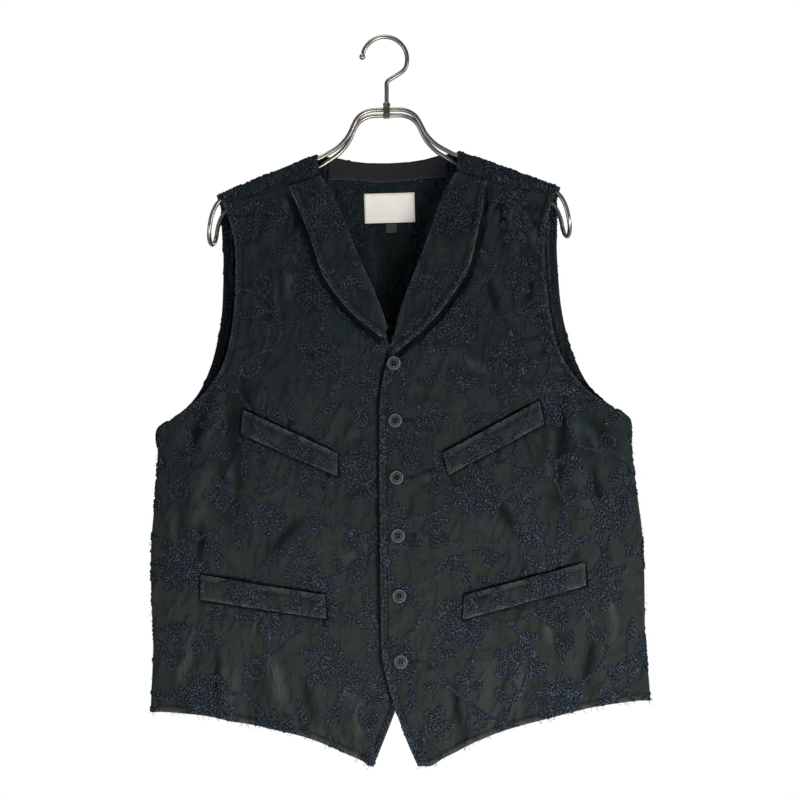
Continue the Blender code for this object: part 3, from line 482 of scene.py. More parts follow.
def back_top(x):
    """Height and depth of the back's last full row."""
    if x <= NECK_CORNER_X:
        return between(NECKLINE, x), between(NECK_Y, x)
    spread = between(WIRE_SPREAD, x)
    z = between(CLOTH_LINE, x) - 2 * spread * tan(WIRE_PITCH)
    lift = 8 * (1 - ease(NECK_CORNER_X, NECK_CORNER_X + 18.0, x))
    return z + lift, spread + cloth_radius()


def smooth_between(table, at):
    """Value of a two-column table at a place, on a smooth curve through its rows."""
    if at <= table[0][0]:
        return table[0][1]
    for k in range(len(table) - 1):
        x0, y0 = table[k][:2]
        x1, y1 = table[k + 1][:2]
        if at <= x1:
            before = table[max(k - 1, 0)]
            after = table[min(k + 2, len(table) - 1)]
            width = x1 - x0
            slope0 = (y1 - before[1]) / (x1 - before[0])
            slope1 = (after[1] - y0) / (after[0] - x0)
            t = (at - x0) / width
            return ((2 * t ** 3 - 3 * t * t + 1) * y0 + (t ** 3 - 2 * t * t + t) * width * slope0
                + (3 * t * t - 2 * t ** 3) * y1 + (t ** 3 - t * t) * width * slope1)
    return table[-1][1]


def rumple(x, z, seed):
    """Small unevenness of washed cloth at a place, between about -1 and 1."""
    slow = wobble(x / 30.0, z / 42.0, seed)
    quick = wobble(x / 11.0, z / 15.0, seed + 7.0)
    return slow + 0.45 * quick


def border(away, along, seed):
    """Height of a turned, topstitched edge at a distance in from it, puckered along it."""
    swell = BORDER_SWELL * exp(-((away - 0.5 * STITCH_IN) / 2.8) ** 2)
    groove = BORDER_GROOVE * exp(-((away - STITCH_IN) / 1.5) ** 2)
    pucker = PUCKER * wobble(along / 8.0, seed, 3.0) * exp(-away / 11.0)
    return swell - groove + pucker


class Cloth:
    """A panel as a fine grid: its middle surface, upright and in millimetres, the way out
    of it at each point, and its unrolled place on the woven cloth."""

    def __init__(self, points, outward, shown=None):
        grid = np.array(points)
        # The columns after the third add up to a point's relief value, from which the cloth material
        # paints shade into valleys and grooves, and highlight and wear onto crests
        self.points, self.wear_and_shade = grid[..., :3], grid[..., 3:].sum(axis=2)
        rows, columns = self.points.shape[:2]
        across = np.gradient(self.points, axis=1)
        along = np.gradient(self.points, axis=0)
        normals = unit(np.cross(across, along))
        self.turned = float(normals[..., 1].mean()) * outward < 0.0
        self.normals = -normals if self.turned else normals
        step_u = np.linalg.norm(np.diff(self.points, axis=1), axis=2)
        self.u = np.concatenate([np.zeros((rows, 1)), np.cumsum(step_u, axis=1)], axis=1)
        step_v = np.linalg.norm(np.diff(self.points, axis=0)[..., 1:], axis=2)
        self.v = np.concatenate([np.zeros((1, columns)), np.cumsum(step_v, axis=0)], axis=0)
        self.shown = shown or (lambda i, j: True)
        self.faces = [(j * columns + i, j * columns + i + 1, (j + 1) * columns + i + 1,
            (j + 1) * columns + i) for j in range(rows - 1) for i in range(columns - 1)
            if self.shown(i, j)]
        self.flat_tree = None
        self.columns = columns

    def counted_upright(self, side):
        """Counts the unrolled places from the upright ones at each row's and column's start."""
        self.u += self.points[:, :1, 0] * side
        self.v += self.points[:1, :, 2]
        return self

    def tree(self):
        """The middle surface as a search tree, for what lies on it."""
        verts = [Vector(p) for p in self.points.reshape(-1, 3)]
        return BVHTree.FromPolygons(verts, self.faces)

    def triangles(self):
        split = [((a, b, c), (a, c, d)) for a, b, c, d in self.faces]
        return [tri for pair in split for tri in pair]

    def lift(self, uv):
        """Where places on the unrolled cloth lie on the panel: points, normals, and which
        of them are on it at all."""
        if self.flat_tree is None:
            self.tris = np.array(self.triangles())
            self.flat = np.stack([self.u.ravel(), self.v.ravel()], axis=1)
            verts = [Vector((u, v, 0.0)) for u, v in self.flat]
            self.flat_tree = BVHTree.FromPolygons(verts, self.tris.tolist())
        down = Vector((0.0, 0.0, -1.0))
        found = [self.flat_tree.ray_cast(Vector((u, v, 1.0)), down, 2.0)[2] for u, v in uv]
        on_it = np.array([index is not None for index in found])
        corners = self.tris[[index or 0 for index in found]]
        a, b, c = (self.flat[corners[:, k]] for k in range(3))
        ab, ac, ap = b - a, c - a, np.asarray(uv) - a
        det = ab[:, 0] * ac[:, 1] - ab[:, 1] * ac[:, 0]
        det = np.where(np.abs(det) < 1e-9, 1e-9, det)
        share_b = (ap[:, 0] * ac[:, 1] - ap[:, 1] * ac[:, 0]) / det
        share_c = (ab[:, 0] * ap[:, 1] - ab[:, 1] * ap[:, 0]) / det
        weights = np.stack([1 - share_b - share_c, share_b, share_c], axis=1)[..., None]
        places = (self.points.reshape(-1, 3)[corners] * weights).sum(axis=1)
        normals = (self.normals.reshape(-1, 3)[corners] * weights).sum(axis=1)
        return places, normals, on_it

    def at(self, i, j):
        """Point and normal at places counted in columns and rows of the grid."""
        rows, columns = self.points.shape[:2]
        i0 = min(int(i), columns - 2)
        j0 = min(int(j), rows - 2)
        s, t = i - i0, j - j0
        values = []
        for grid in (self.points, self.normals):
            low = grid[j0, i0] * (1 - s) + grid[j0, i0 + 1] * s
            high = grid[j0 + 1, i0] * (1 - s) + grid[j0 + 1, i0 + 1] * s
            values.append(low * (1 - t) + high * t)
        return values

    def beside(self, lines, inset, far, first, last):
        """Pairs of places, along a line of the grid and which line, at a distance in from
        its near or far rim."""
        last = len(lines) - 1.0 if last is None else last
        way = -1 if far else 1
        pairs = []
        for k in np.arange(first, last + 0.01, 1.0):
            away = abs(lines[int(k)] - lines[int(k)][-1 if far else 0])
            pairs.append((np.interp(inset, away[::way], np.arange(len(away))[::way]), k))
        return pairs

    def beside_column(self, inset, last=False, first_row=0.0, last_row=None):
        """A line at a distance in from the first or the last column."""
        return [self.at(i, j) for i, j in self.beside(self.u, inset, last, first_row, last_row)]

    def beside_row(self, inset, top=False, first=0.0, last=None):
        """A line at a distance in from the first or the top row."""
        return [self.at(i, j) for j, i in self.beside(self.v.T, inset, top, first, last)]


def leant(points, tilt=HANG_TILT, unit_size=MM):
    """Upright millimetres, turned about the clip as the garment hangs, in metres."""
    points = np.asarray(points)
    dx, dz = points[..., 0] - CLIP_X, points[..., 2] - CLIP_Z
    c, s = cos(tilt), sin(tilt)
    return np.stack([CLIP_X + dx * c - dz * s, points[..., 1], CLIP_Z + dx * s + dz * c],
        axis=-1) * unit_size


def unit(vectors):
    """The directions of vectors, each of length 1."""
    return vectors / np.maximum(np.linalg.norm(vectors, axis=-1, keepdims=True), 1e-9)


def run_of(points):
    """How far along a line each of its points lies."""
    return np.concatenate([[0.0], np.cumsum(np.linalg.norm(np.diff(points, axis=0), axis=1))])


def read_along(at, run, values):
    """A line's rows of values at places along it, straight between its points."""
    return np.stack([np.interp(at, run, column) for column in values.T], axis=1)


def beside_line(line):
    """Flat directions square to a line, at each of its points."""
    ahead = unit(np.gradient(line, axis=0))
    return np.stack([-ahead[:, 1], ahead[:, 0]], axis=1)


def out_from(at, heading, reach):
    """The place at a distance from another."""
    return at[0] + reach * cos(heading), at[1] + reach * sin(heading)


def laid_out(point, columns, rows):
    """A grid of points from a function of two shares, across and up."""
    return [[point(i / columns, j / rows) for i in range(columns + 1)] for j in range(rows + 1)]


def depth_on(tree, x, z, start_y, rest):
    """The y at x, z of a layer that lies a distance in front of a panel's middle surface."""
    hit, normal, _, _ = tree.ray_cast(Vector((x, start_y, z)), Vector((0.0, 1.0, 0.0)))
    if hit is None:
        hit, normal, _, _ = tree.find_nearest(Vector((x, start_y, z)))
    return hit.y - rest / max(STEEPEST, abs(normal.y))


def fine_stations(rows, steps):
    """Places counted in rows, each row split into the same number of steps."""
    places = []
    for k in range(len(rows) - 1):
        places += [k + step / steps for step in range(steps)]
    return places + [float(len(rows) - 1)]


def shares(width, step, near_first=True, near_last=True):
    """Shares across a panel, with more columns in the border at each stitched edge."""
    low = [inset / width for inset in BORDER] if near_first else [0.0]
    high = [1 - inset / width for inset in BORDER[::-1]] if near_last else [1.0]
    count = max(2, round((high[0] - low[-1]) * width / step))
    middle = [mix(low[-1], high[0], k / count) for k in range(1, count)]
    return low + middle + high


def edges_on_front(hand):
    """Lines round what lies on a front, and how wide a groove each presses: its lapel, its welts, and the
    front on top. The cloth material paints these grooves dark as the shadows of those edges."""
    rows = LAPEL_LEFT_ROWS if hand == "left" else LAPEL_RIGHT_ROWS
    lines = [([(row.free_x + 1.5 * SHADOW_GROOVE_OUT, row.free_z - SHADOW_GROOVE_OUT) for row in rows],
        LAPEL_SHADOW_GROOVE_W)]
    for name, welt in WELTS.items():
        if name.endswith(hand):
            corners = [(x + out, z + up) for (x, z), (out, up) in zip(welt,
                ((0.0, 0.5), (0.0, 0.5), (0.5, -0.5), (-0.5, -0.5)))]
            lines.append((corners + corners[:1], SHADOW_GROOVE_W))
    if hand == "right":
        lines.append(([(SHADOW_GROOVE_OUT - row.top_x, row.edge_z) for row in FRONT_ROWS
            if row.edge_z < LAPEL_RIGHT_ROWS[0].fold_z], SHADOW_GROOVE_W))
    return lines


def gathers(line, count, length, width, height, way, seed):
    """Short creases that run off a stitched line, uneven in place, length and depth. way is
    the angle at which they leave it."""
    rng = random.Random(seed)
    places = [list(point) for point in line]
    made = []
    for k in range(count):
        t = (k + rng.uniform(0.1, 0.9)) / count * (len(places) - 1)
        x, z = mix(np.array(places[int(t)]), np.array(places[int(t) + 1]), t - int(t))
        angle = way + rng.uniform(-0.45, 0.45)
        reach = length * rng.uniform(0.5, 1.3)
        made.append(Fold(x, z, x + reach * cos(angle), z + reach * sin(angle),
            width * rng.uniform(0.7, 1.4), height * rng.uniform(-1.2, 0.8)))
    return made


def front_gathers(hand):
    """Where stitching draws a front in: its buttons, welts, hem, armhole and shoulder."""
    made = []
    for k, z in enumerate(BUTTON_Z[1:]):
        line = ((22.0, z - 12.0), (22.0, z + 14.0))
        made += gathers(line, 3, 34.0, 2.2, 0.9, 0.0, hand + 3 * k)
    name = "left" if hand > 0.0 else "right"
    for part in ("chest", "hip"):
        welt = WELTS[f"welt_{part}_{name}"]
        foot = [(x, z - 2.0) for x, z in (welt.in_low, welt.out_low)]
        mouth = [(x, z + 3.0) for x, z in (welt.in_top, welt.out_top)]
        made += gathers(foot, 8, 24.0, 2.4, 1.0, -1.5, 2.0 + hand + len(part))
        made += gathers(mouth, 5, 26.0, 2.8, 0.9, 1.6, 4.0 + hand + len(part))
    made += gathers(HEM[2:], 18, 30.0, 3.0, 1.0, 1.55, 6.0 + hand)
    armhole = [(row.side_x - 8.0, row.side_z) for row in FRONT_ROWS[11:-1]]
    made += gathers(armhole, 12, 22.0, 2.6, 0.9, pi, 8.0 + hand)
    shoulder = [(x, z - 3.0) for x, z in SHOULDER_SEAM]
    return made + gathers(shoulder, 9, 46.0, 3.0, 1.3, -1.45, 10.0 + hand)


def back_gathers():
    """The same on the back: its hem, its armholes and below the straps."""
    hem = [(row * 54.0 - 270.0, -722.0 + 6 * cos(row)) for row in range(11)]
    made = gathers(hem, 26, 30.0, 3.0, 1.0, 1.55, 12.0)
    for side in (1.0, -1.0):
        armhole = [(side * (row.side_x - 8.0), row.side_z) for row in BACK_ROWS[12:-1]]
        made += gathers(armhole, 12, 24.0, 2.6, 0.9, 0.5 * pi + side * 0.5 * pi, 13.0 + side)
        shoulder = [(side * x, z - 12.0) for x, z in SHOULDER_SEAM]
        made += gathers(shoulder, 8, 50.0, 3.2, 1.3, -1.55, 16.0 + side)
    return made


def front_cloth(side, layer, folds, creases, pressed, seed):
    """One front, as in the part, with its finer creases and its stitched borders."""
    low_rows = [inset / 22.0 for inset in BORDER[:-1]]
    places = low_rows + [p for p in fine_stations(FRONT_ROWS, ROW_STEPS) if p > low_rows[-1]]
    last_place = len(FRONT_ROWS) - 1.0
    columns = [(share, 0.0) for share in shares(FRONT_GRID_WIDTH, COLUMN_STEP)] + [(1.0, 0.5), (1.0, 1.0)]

    def point(across, turn, place):
        edge_z, top_x, under_x, side_x, side_z = spline(FRONT_ROWS, place)
        in_v = ease(-400.0, -330.0, edge_z)
        edge_x = mix(under_x, top_x, 0.5 + 0.5 * layer) + ROLL_INSET * in_v
        open_side = ease(UNDERARM_Z, UNDERARM_Z + 26.0, side_z)
        x = mix(mix(edge_x, side_x - 3 * open_side, across), side_x, turn)
        z = mix(edge_z, side_z, across)
        line = mix(FRONT_ROWS[0].edge_z, FRONT_ROWS[0].side_z, across)
        hem_z = smooth_between(HEM, x)
        z += (hem_z - line) * (1 - ease(0.0, 5.0, place)) * ease(0.0, 0.05, across)
        line = mix(FRONT_ROWS[-1].edge_z, FRONT_ROWS[-1].side_z, across)
        seam_z = smooth_between(SHOULDER_SEAM, x)
        z += (seam_z - line) * ease(last_place - 4.0, last_place, place)
        z -= 0.5 * (GAP + 0.1) * ease(last_place - 1.0, last_place, place)
        y = front_y(x, z, layer, folds)
        flat = (1 - ease(0.86, 0.985, abs(x) / half_width(z))) * ease(0.0, 26.0, seam_z - z)
        at_edge = border(x - edge_x, z, seed) if in_v < 1.0 else 0.0
        at_hem = border(z - hem_z, x, seed + 1.0) * (1 - turn)
        at_arm = border(side_x - x, z, seed + 2.0) * open_side
        stitched = at_edge * (1 - in_v) + at_hem * ease(1.0, 0.93, across) + at_arm
        y -= stitched + flat * RUMPLE * rumple(x, z, seed)
        y = mix(y, mix(-SEAM_HALF_GAP, y, open_side), turn)
        y -= VENT_OPEN * (1 - ease(0.0, 3.0, place)) * ease(0.9, 1.0, across)
        return x, y, z, stitched + 0.15 * flat * fold_height(folds, x, z), flat * (1 - turn)

    points = [[point(across, turn, place) for across, turn in columns] for place in places]
    x, y, z, wear_and_shade, flat = np.moveaxis(np.array(points), 2, 0)
    crease = crease_heights([*creases, *front_gathers(side)], x, z, seed)
    # The grooves go into the relief values too, so that the cloth material paints them dark as the shadows
    # of the lapel, the welts and the top front
    crease += shadow_grooves(pressed, x, z)
    y -= flat * crease
    points = np.stack([CLIP_X + side * x, y, z, wear_and_shade + flat * crease], axis=2)
    return Cloth(points, -1.0).counted_upright(side)


def back_cloth(seed):
    """The back with both straps, which go over the hanger's wires to the forward seams."""
    low_rows = [inset / 20.0 for inset in BORDER[:-1]]
    top = len(BACK_ROWS) - 1.0
    places = low_rows + [p for p in fine_stations(BACK_ROWS, BACK_ROW_STEPS) if p > low_rows[-1]]
    strap_steps = 4
    over = [top + k / strap_steps for k in range(1, strap_steps * len(STRAP_ROWS) + 1)]
    half = shares(BACK_GRID_WIDTH, BACK_COLUMN_STEP, near_first=False)
    half = sorted([s for s in half if abs(s - NECK_SHARE) > 0.008] + [NECK_SHARE])
    half = [(share, 0.0) for share in half] + [(1.0, 0.5), (1.0, 1.0)]
    neck_index = half.index((NECK_SHARE, 0.0))

    def on_back(across, turn, place, side):
        middle_z, side_x, side_z = spline(BACK_ROWS, place)
        open_side = ease(UNDERARM_Z, UNDERARM_Z + 26.0, side_z)
        x = mix((side_x - 3 * open_side) * across, side_x, turn)
        z = mix(middle_z, side_z, across ** 2)
        to_top = ease(top - 6.0, top, place)
        line = mix(BACK_ROWS[-1].middle_z, BACK_ROWS[-1].side_z, across ** 2)
        top_z, top_y = back_top(x)
        z += (top_z - line) * to_top
        ring = lens(between(BACK_DEPTH, z), x / half_width(z))
        y = mix(ring, top_y, ease(0.0, 1.0, 1 - (top_z - z) / 75.0))
        hem_z = mix(BACK_ROWS[0].middle_z, BACK_ROWS[0].side_z, across ** 2)
        calm = (1 - ease(0.86, 0.985, x / half_width(z))) * ease(0.0, 45.0, top_z - z)
        fold = calm * fold_height(BACK_FOLDS, side * x, z)
        stitched = border(z - hem_z, side * x, seed + 1.0) * ease(1.0, 0.93, across)
        stitched += border(side_x - x, z, seed + 2.0 + side) * open_side * (1 - to_top)
        y += fold + stitched + calm * RUMPLE * rumple(side * x, z, seed)
        y = mix(y, mix(SEAM_HALF_GAP, y, open_side), turn)
        y += VENT_OPEN * (1 - ease(0.0, 3.0, place)) * ease(0.9, 1.0, across)
        return x, y, z, stitched + 0.15 * fold, calm

    def on_strap(across, turn, step):
        row = STRAP_ROWS[step - 1]
        share = max(0.0, (across - NECK_SHARE) / (1 - NECK_SHARE))
        x = mix(mix(row.neck_x, row.end_x - 3.0, share), row.end_x, turn)
        lift = row.neck_lift * (1 - ease(0.0, 0.2, share))
        return (x, *arch_point(step - 1, x, lift), 0.0, 0.0)

    def half_point(across, turn, place, side):
        if place <= top:
            return on_back(across, turn, place, side)
        knots = [on_back(across, turn, top - 0.5, side), on_back(across, turn, top, side)]
        knots += [on_strap(across, turn, k + 1) for k in range(len(STRAP_ROWS))]
        return spline(knots, 1.0 + place - top)

    columns = [(share, turn, -1.0) for share, turn in half[:0:-1]]
    columns += [(share, turn, 1.0) for share, turn in half]
    middle = len(half) - 1
    points = []
    for place in places + over:
        row = []
        for across, turn, side in columns:
            x, y, z, wear_and_shade, calm = half_point(across, turn, place, side)
            row.append((side * x, y, z, wear_and_shade, calm * (1 - turn)))
        points.append(row)
    x, y, z, wear_and_shade, calm = np.moveaxis(np.array(points), 2, 0)
    crease = calm * crease_heights([*BACK_CREASES, *back_gathers()], x, z, seed)
    points = np.stack([CLIP_X + x, y + crease, z, wear_and_shade + crease], axis=2)
    full = len(places) - 1

    def shown(i, j):
        return j < full or abs(i + 0.5 - middle) > neck_index

    cloth = Cloth(points, 1.0, shown)
    cloth.u -= cloth.u[:, middle:middle + 1].copy()
    cloth.v += cloth.points[:1, :, 2]
    # A strap's cloth is counted from its own edge at the neck, as nothing joins the two
    left, right = middle + neck_index, middle - neck_index
    over_neck = cloth.u[full + 1:]
    over_neck[:, left:] += cloth.u[full, left] - over_neck[:, left:left + 1]
    over_neck[:, :right + 1] += cloth.u[full, right] - over_neck[:, right:right + 1]
    cloth.middle, cloth.neck_index, cloth.full = middle, neck_index, full
    cloth.places = places + over
    return cloth


def lapel_cloth(side, rows, tree, seed):
    """A lapel, rolled round the front's edge, its free edge standing off the front."""
    across_steps, row_steps = 4, 4
    last = len(LAPEL_COLUMNS) - 1
    columns = [k / across_steps for k in range(2 * across_steps)]
    columns += [2.0 + k / (3 * across_steps) * 1.0 for k in range(3 * across_steps * (last - 2))]
    columns.append(float(last))

    def point(column, place):
        fold_x, fold_z, free_x, free_z = spline(rows, place)
        across, roll, inset = spline(LAPEL_COLUMNS, column)
        across = clamp(across)
        x = mix(fold_x, free_x, across) - inset
        z = mix(fold_z, free_z, across)
        length = hypot(free_x - fold_x, free_z - fold_z)
        lift = LAPEL_LIFT * across ** 2 * ease(0.0, 30.0, length)
        lift *= 1 - 0.8 * ease(-175.0, -160.0, z)
        from_free = (1 - across) * length
        stitched = border(from_free, z, seed) * ease(0.0, 24.0, length)
        crumpled = RUMPLE * rumple(x * 1.6, z * 1.3, seed) * ease(0.05, 0.3, across)
        lift += stitched + 0.45 * crumpled
        world_x = CLIP_X + side * max(x, fold_x + ROLL_INSET + 0.6)
        y = depth_on(tree, world_x, z, -200.0, LAPEL_REST) - lift + roll
        return CLIP_X + side * x, y, z, stitched + crumpled

    places = [k / row_steps / 2.0 for k in range(2 * row_steps * (len(rows) - 1) + 1)]
    return Cloth([[point(column, place) for column in columns] for place in places],
        -1.0).counted_upright(side)


def welt_cloth(side, welt, tree, seed):
    """A pocket welt, sewn down at its foot and its ends, its mouth standing off a little."""
    columns, rows = 44, 12
    rest = 0.5 * CLOTH_T + GAP + 0.5 * WELT_T + FACET_SLACK

    def point(u, v):
        low, top = (mix(np.array(near), np.array(far), u) for near,
            far in ((welt.in_low, welt.out_low), (welt.in_top, welt.out_top)))
        x, z = mix(low, top, v)
        bow = sin(pi * clamp(u)) ** 0.5
        gape = WELT_GAPE * v * v * bow
        height = hypot(*(top - low))
        stitched = border((1 - v) * height, x, seed)
        crumpled = RUMPLE * rumple(x * 1.4, z * 1.4, seed)
        gape += stitched + 0.5 * BORDER_GROOVE + 0.3 * crumpled
        y = depth_on(tree, CLIP_X + side * x, z, -200.0, rest) - gape
        return CLIP_X + side * x, y, z, stitched + crumpled

    return Cloth(laid_out(point, columns, rows), -1.0).counted_upright(side)


def neck_facing_cloth(back_tree, seed):
    """The smooth facing inside the back of the neck, with its soft lower edge."""
    columns, rows = 44, 12
    rest = 0.5 * CLOTH_T + GAP + 0.5 * FACING_T + 0.1

    def point(u, v):
        x = mix(-FACING_HALF, FACING_HALF, u)
        top = smooth_between(NECKLINE, abs(x)) - 0.8
        z = mix(smooth_between(FACING_LOW, abs(x)), top, v)
        y = depth_on(back_tree, CLIP_X + x, z, 0.0, rest)
        y -= 0.3 * rumple(x, z, seed) * sin(pi * v)
        return CLIP_X + x, y, z

    return Cloth(laid_out(point, columns, rows), -1.0)


def armhole_facing_cloth(side, back):
    """A narrow facing strip inside the back's armhole, a little off the back's inner face."""
    rest = 0.5 * CLOTH_T + GAP + 0.5 * FACING_T + FACET_SLACK
    first, end = ARMHOLE_FACING_LEVELS
    rows = [j for j, place in enumerate(back.places) if first <= place <= end]
    grid = []
    for j in rows:
        u = back.u[j]
        edge = u[-1] if side > 0.0 else u[0]
        line = []
        for inset in np.linspace(0.4, ARMHOLE_FACING_W, 6):
            i = np.interp(edge - side * inset, u, np.arange(back.columns))
            place, normal = back.at(i, j)
            line.append(place - normal * rest)
        grid.append(line)
    return Cloth(grid, -1.0)


def patch_cloth(centre, size, turn, back_tree, curl, seed):
    """A small woven label, sewn round its edge to the inside of the back."""
    columns, rows = 28, 16
    rest = 0.5 * CLOTH_T + GAP + 0.5 * LABEL_T + 0.15

    def point(across, up):
        u, v = (across - 0.5) * size[0], (up - 0.5) * size[1]
        x = centre[0] + u * cos(turn) - v * sin(turn)
        z = centre[1] + u * sin(turn) + v * cos(turn)
        inside = sin(pi * across) * sin(pi * up)
        puff = curl * inside ** 0.5 * (1.0 + 0.6 * rumple(x * 1.5, z * 1.5, seed))
        return x, depth_on(back_tree, x, z, 0.0, rest) - puff, z

    return Cloth(laid_out(point, columns, rows), -1.0)


class Repeat:
    """One repeat of the embroidery, drawn as lines of yarn in millimetres. It joins onto
    itself left to right and top to bottom, and keeps its motifs off each other."""

    CELL = 3.0

    def __init__(self, seed):
        self.random = random.Random(seed)
        self.lines = []
        self.taken = set()

    def cells(self, points):
        wide, high = round(REPEAT_W / self.CELL), round(REPEAT_H / self.CELL)
        return {(int(x // self.CELL) % wide, int(z // self.CELL) % high) for x, z in points}

    def room_for(self, points, most=0.12):
        cells = self.cells(points)
        return len(cells & self.taken) <= most * len(cells)

    def sew(self, points, loops=1.0):
        """Lays one yarn along a line, swinging from side to side as looped stitches do."""
        points = np.array(points)
        run = run_of(points)
        if run[-1] < 2 * YARN_STEP:
            return
        at = np.linspace(0.0, run[-1], max(3, round(run[-1] / YARN_STEP) + 1))
        line = read_along(at, run, points)
        wave = LOOP_WAVE * self.random.uniform(0.75, 1.3)
        start = self.random.uniform(0.0, 2 * pi)
        swing = loops * LOOP_SWING * np.sin(2 * pi * at / wave + start)
        swing += 0.9 * loops * np.array([wobble(x / 3.8, z / 3.8, start) for x, z in line])
        self.lines.append(line + beside_line(line) * swing[:, None])

    def leaf(self, base, heading, length, width, bend=0.0, must_fit=True):
        """A leaf or petal, filled to and fro with yarn; False where there is no room."""
        steps = 12
        centre = [np.array(base, float)]
        normals = []
        for k in range(steps + 1):
            angle = heading + bend * (k / steps - 0.5)
            normals.append(np.array((-sin(angle), cos(angle))))
            ahead = np.array((cos(angle), sin(angle)))
            centre.append(centre[-1] + ahead * length / steps)
        centre = centre[:-1]
        half = [0.5 * width * sin(pi * (k / steps) ** 1.25) ** 0.55 for k in range(steps + 1)]

        def at(share, part):
            k = min(int(share * steps), steps - 1)
            t = share * steps - k
            middle = centre[k] * (1 - t) + centre[k + 1] * t
            normal = normals[k] * (1 - t) + normals[k + 1] * t
            return middle + normal * part * mix(half[k], half[k + 1], t)

        outline = [at(share, part) for share in (0.15, 0.35, 0.55, 0.75, 0.95) for part in (-1.0, -0.5,
            0.0, 0.5, 1.0)]
        if must_fit and not self.room_for(outline):
            return False
        rows = max(2, round(width / YARN_PITCH))
        line = []
        for row in range(rows):
            part = (2 * row + 1.0) / rows - 1.0
            low, high = 0.03 + 0.16 * abs(part), 0.99 - 0.05 * abs(part)
            stretch = [at(low + (high - low) * k / 9.0, part) for k in range(10)]
            line += stretch if row % 2 == 0 else stretch[::-1]
        self.sew(line)
        self.taken |= self.cells(outline)
        return True

    def coil(self, centre, outer, inner, turns, start, both_ways=1.0):
        """A flat spiral of yarn from its outer to its inner radius."""
        steps = max(12, round(16 * turns))
        points = []
        for k in range(steps + 1):
            radius = mix(outer, inner, k / steps)
            angle = start + both_ways * 2 * pi * turns * k / steps
            points.append(out_from(centre, angle, radius))
        return points

    def flower(self, centre, petals, inner, length, width, turned):
        """Petals all round a filled eye."""
        for k in range(petals):
            angle = turned + 2 * pi * k / petals + self.random.uniform(-0.1, 0.1)
            base = out_from(centre, angle, inner)
            reach = length * self.random.uniform(0.82, 1.12)
            bend = self.random.uniform(-0.5, 0.5)
            self.leaf(base, angle, reach, width, bend, must_fit=False)
        eye = self.coil(centre, 1.35 * inner, 0.6, 1.35 * inner / YARN_PITCH, turned)
        self.sew(eye, 0.9)

    def stem(self, points, yarns=2):
        """A vine or stalk: yarns side by side along a smooth line."""
        points = np.array(points)
        for k in range(yarns):
            offset = 0.72 * YARN_PITCH * (k - 0.5 * (yarns - 1))
            self.sew(points + beside_line(points) * offset, 0.45)
        self.taken |= self.cells(points)

    def spray(self, base, heading, leaflets, reach):
        """A stalk with leaflets to both sides and one at its end."""
        tip = out_from(base, heading, reach)
        if not self.room_for([tip, (mix(base[0], tip[0], 0.6), mix(base[1], tip[1], 0.6))], 0.3):
            return False
        self.stem([(mix(base[0], tip[0], t), mix(base[1], tip[1], t)) for t in (0, 0.5, 1)], 2)
        grown = self.leaf(tip, heading, LEAF_L, LEAF_W, self.random.uniform(-0.6, 0.6))
        for k in range(leaflets - 1):
            side = 1.0 if k % 2 == 0 else -1.0
            t = 0.95 - 0.36 * (k // 2) - 0.06 * (k % 2)
            at = (mix(base[0], tip[0], t), mix(base[1], tip[1], t))
            length = LEAF_L * self.random.uniform(0.7, 1.0) - 3 * (k // 2)
            grown |= self.leaf(at, heading + side * (0.72 + 0.1 * (k // 2)), length, LEAF_W,
                side * self.random.uniform(0.2, 0.7))
        return grown

    def curl(self, base, heading, side):
        """A tendril that winds up into itself."""
        radius = self.random.uniform(10.0, 13.5)
        centre = out_from(base, heading, radius)
        ring = self.coil(centre, radius, 0.25 * radius, 1.45, heading + pi, side)
        if not self.room_for(ring[3:], 0.2):
            return False
        self.stem(ring)
        return True

    def bud(self, base, heading):
        """A drop-shaped bud on a short stalk, between two narrow leaflets."""
        at = out_from(base, heading, 9.0)
        if not self.leaf(at, heading, 18.0, 11.5, 0.2):
            return False
        self.stem([base, at], 2)
        for side in (1.0, -1.0):
            self.leaf(at, heading + side * 1.05, 12.0, 5.0, -side * 0.4)
        return True


def draw_repeat():
    """The embroidery: flowers first, then the vines between them, then what grows there."""
    repeat = Repeat(REPEAT_SEED)
    for x, z, petals, length, turned in ROSETTES:
        repeat.flower((x, z), petals, 7.0, length, 11.5, turned)
    for x, z, petals, turned in SMALL_FLOWERS:
        repeat.flower((x, z), petals, 4.0, 16.0, 12.5, turned)
    vines = []
    for vine in VINES:
        steps = 7 * (len(vine) - 1)
        vines.append([tuple(spline(vine, k / 7.0)) for k in range(steps + 1)])
        repeat.stem(vines[-1])
    growths = []
    for vine in vines:
        run, side = 0.0, 1.0
        for (x0, z0), (x1, z1) in zip(vine, vine[1:]):
            run += hypot(x1 - x0, z1 - z0)
            if run > GROWTH_PITCH:
                run, side = 0.0, -side
                ahead = atan2(z1 - z0, x1 - x0)
                growths.append((x1, z1, ahead, side))
    for k, (x, z, ahead, side) in enumerate(growths):
        heading = ahead + side * repeat.random.uniform(0.75, 1.15)
        kinds = ("spray", "bud", "spray", "curl")
        kind = kinds[k % len(kinds)]
        grown = False
        if kind == "bud":
            grown = repeat.bud((x, z), heading)
        elif kind == "curl":
            grown = repeat.curl((x, z), heading, -side)
        if not grown:
            grown = repeat.spray((x, z), heading, 5, repeat.random.uniform(15.0, 22.0))
        if not grown:
            repeat.spray((x, z), ahead - side * 0.9, 4, 11.0)
    for j in range(9):
        for k in range(8):
            x = (k + 0.5 * (j % 2)) * REPEAT_W / 8.0 + repeat.random.uniform(-6.0, 6.0)
            z = j * REPEAT_H / 9.0 + repeat.random.uniform(-6.0, 6.0)
            heading = repeat.random.uniform(0.0, 2 * pi)
            around = [out_from((x, z), a, 11.0) for a in range(7)]
            if repeat.room_for([(x, z), *around], 0.0):
                repeat.spray(out_from((x, z), heading, -10.0), heading, 3, 8.0)
    return repeat.lines


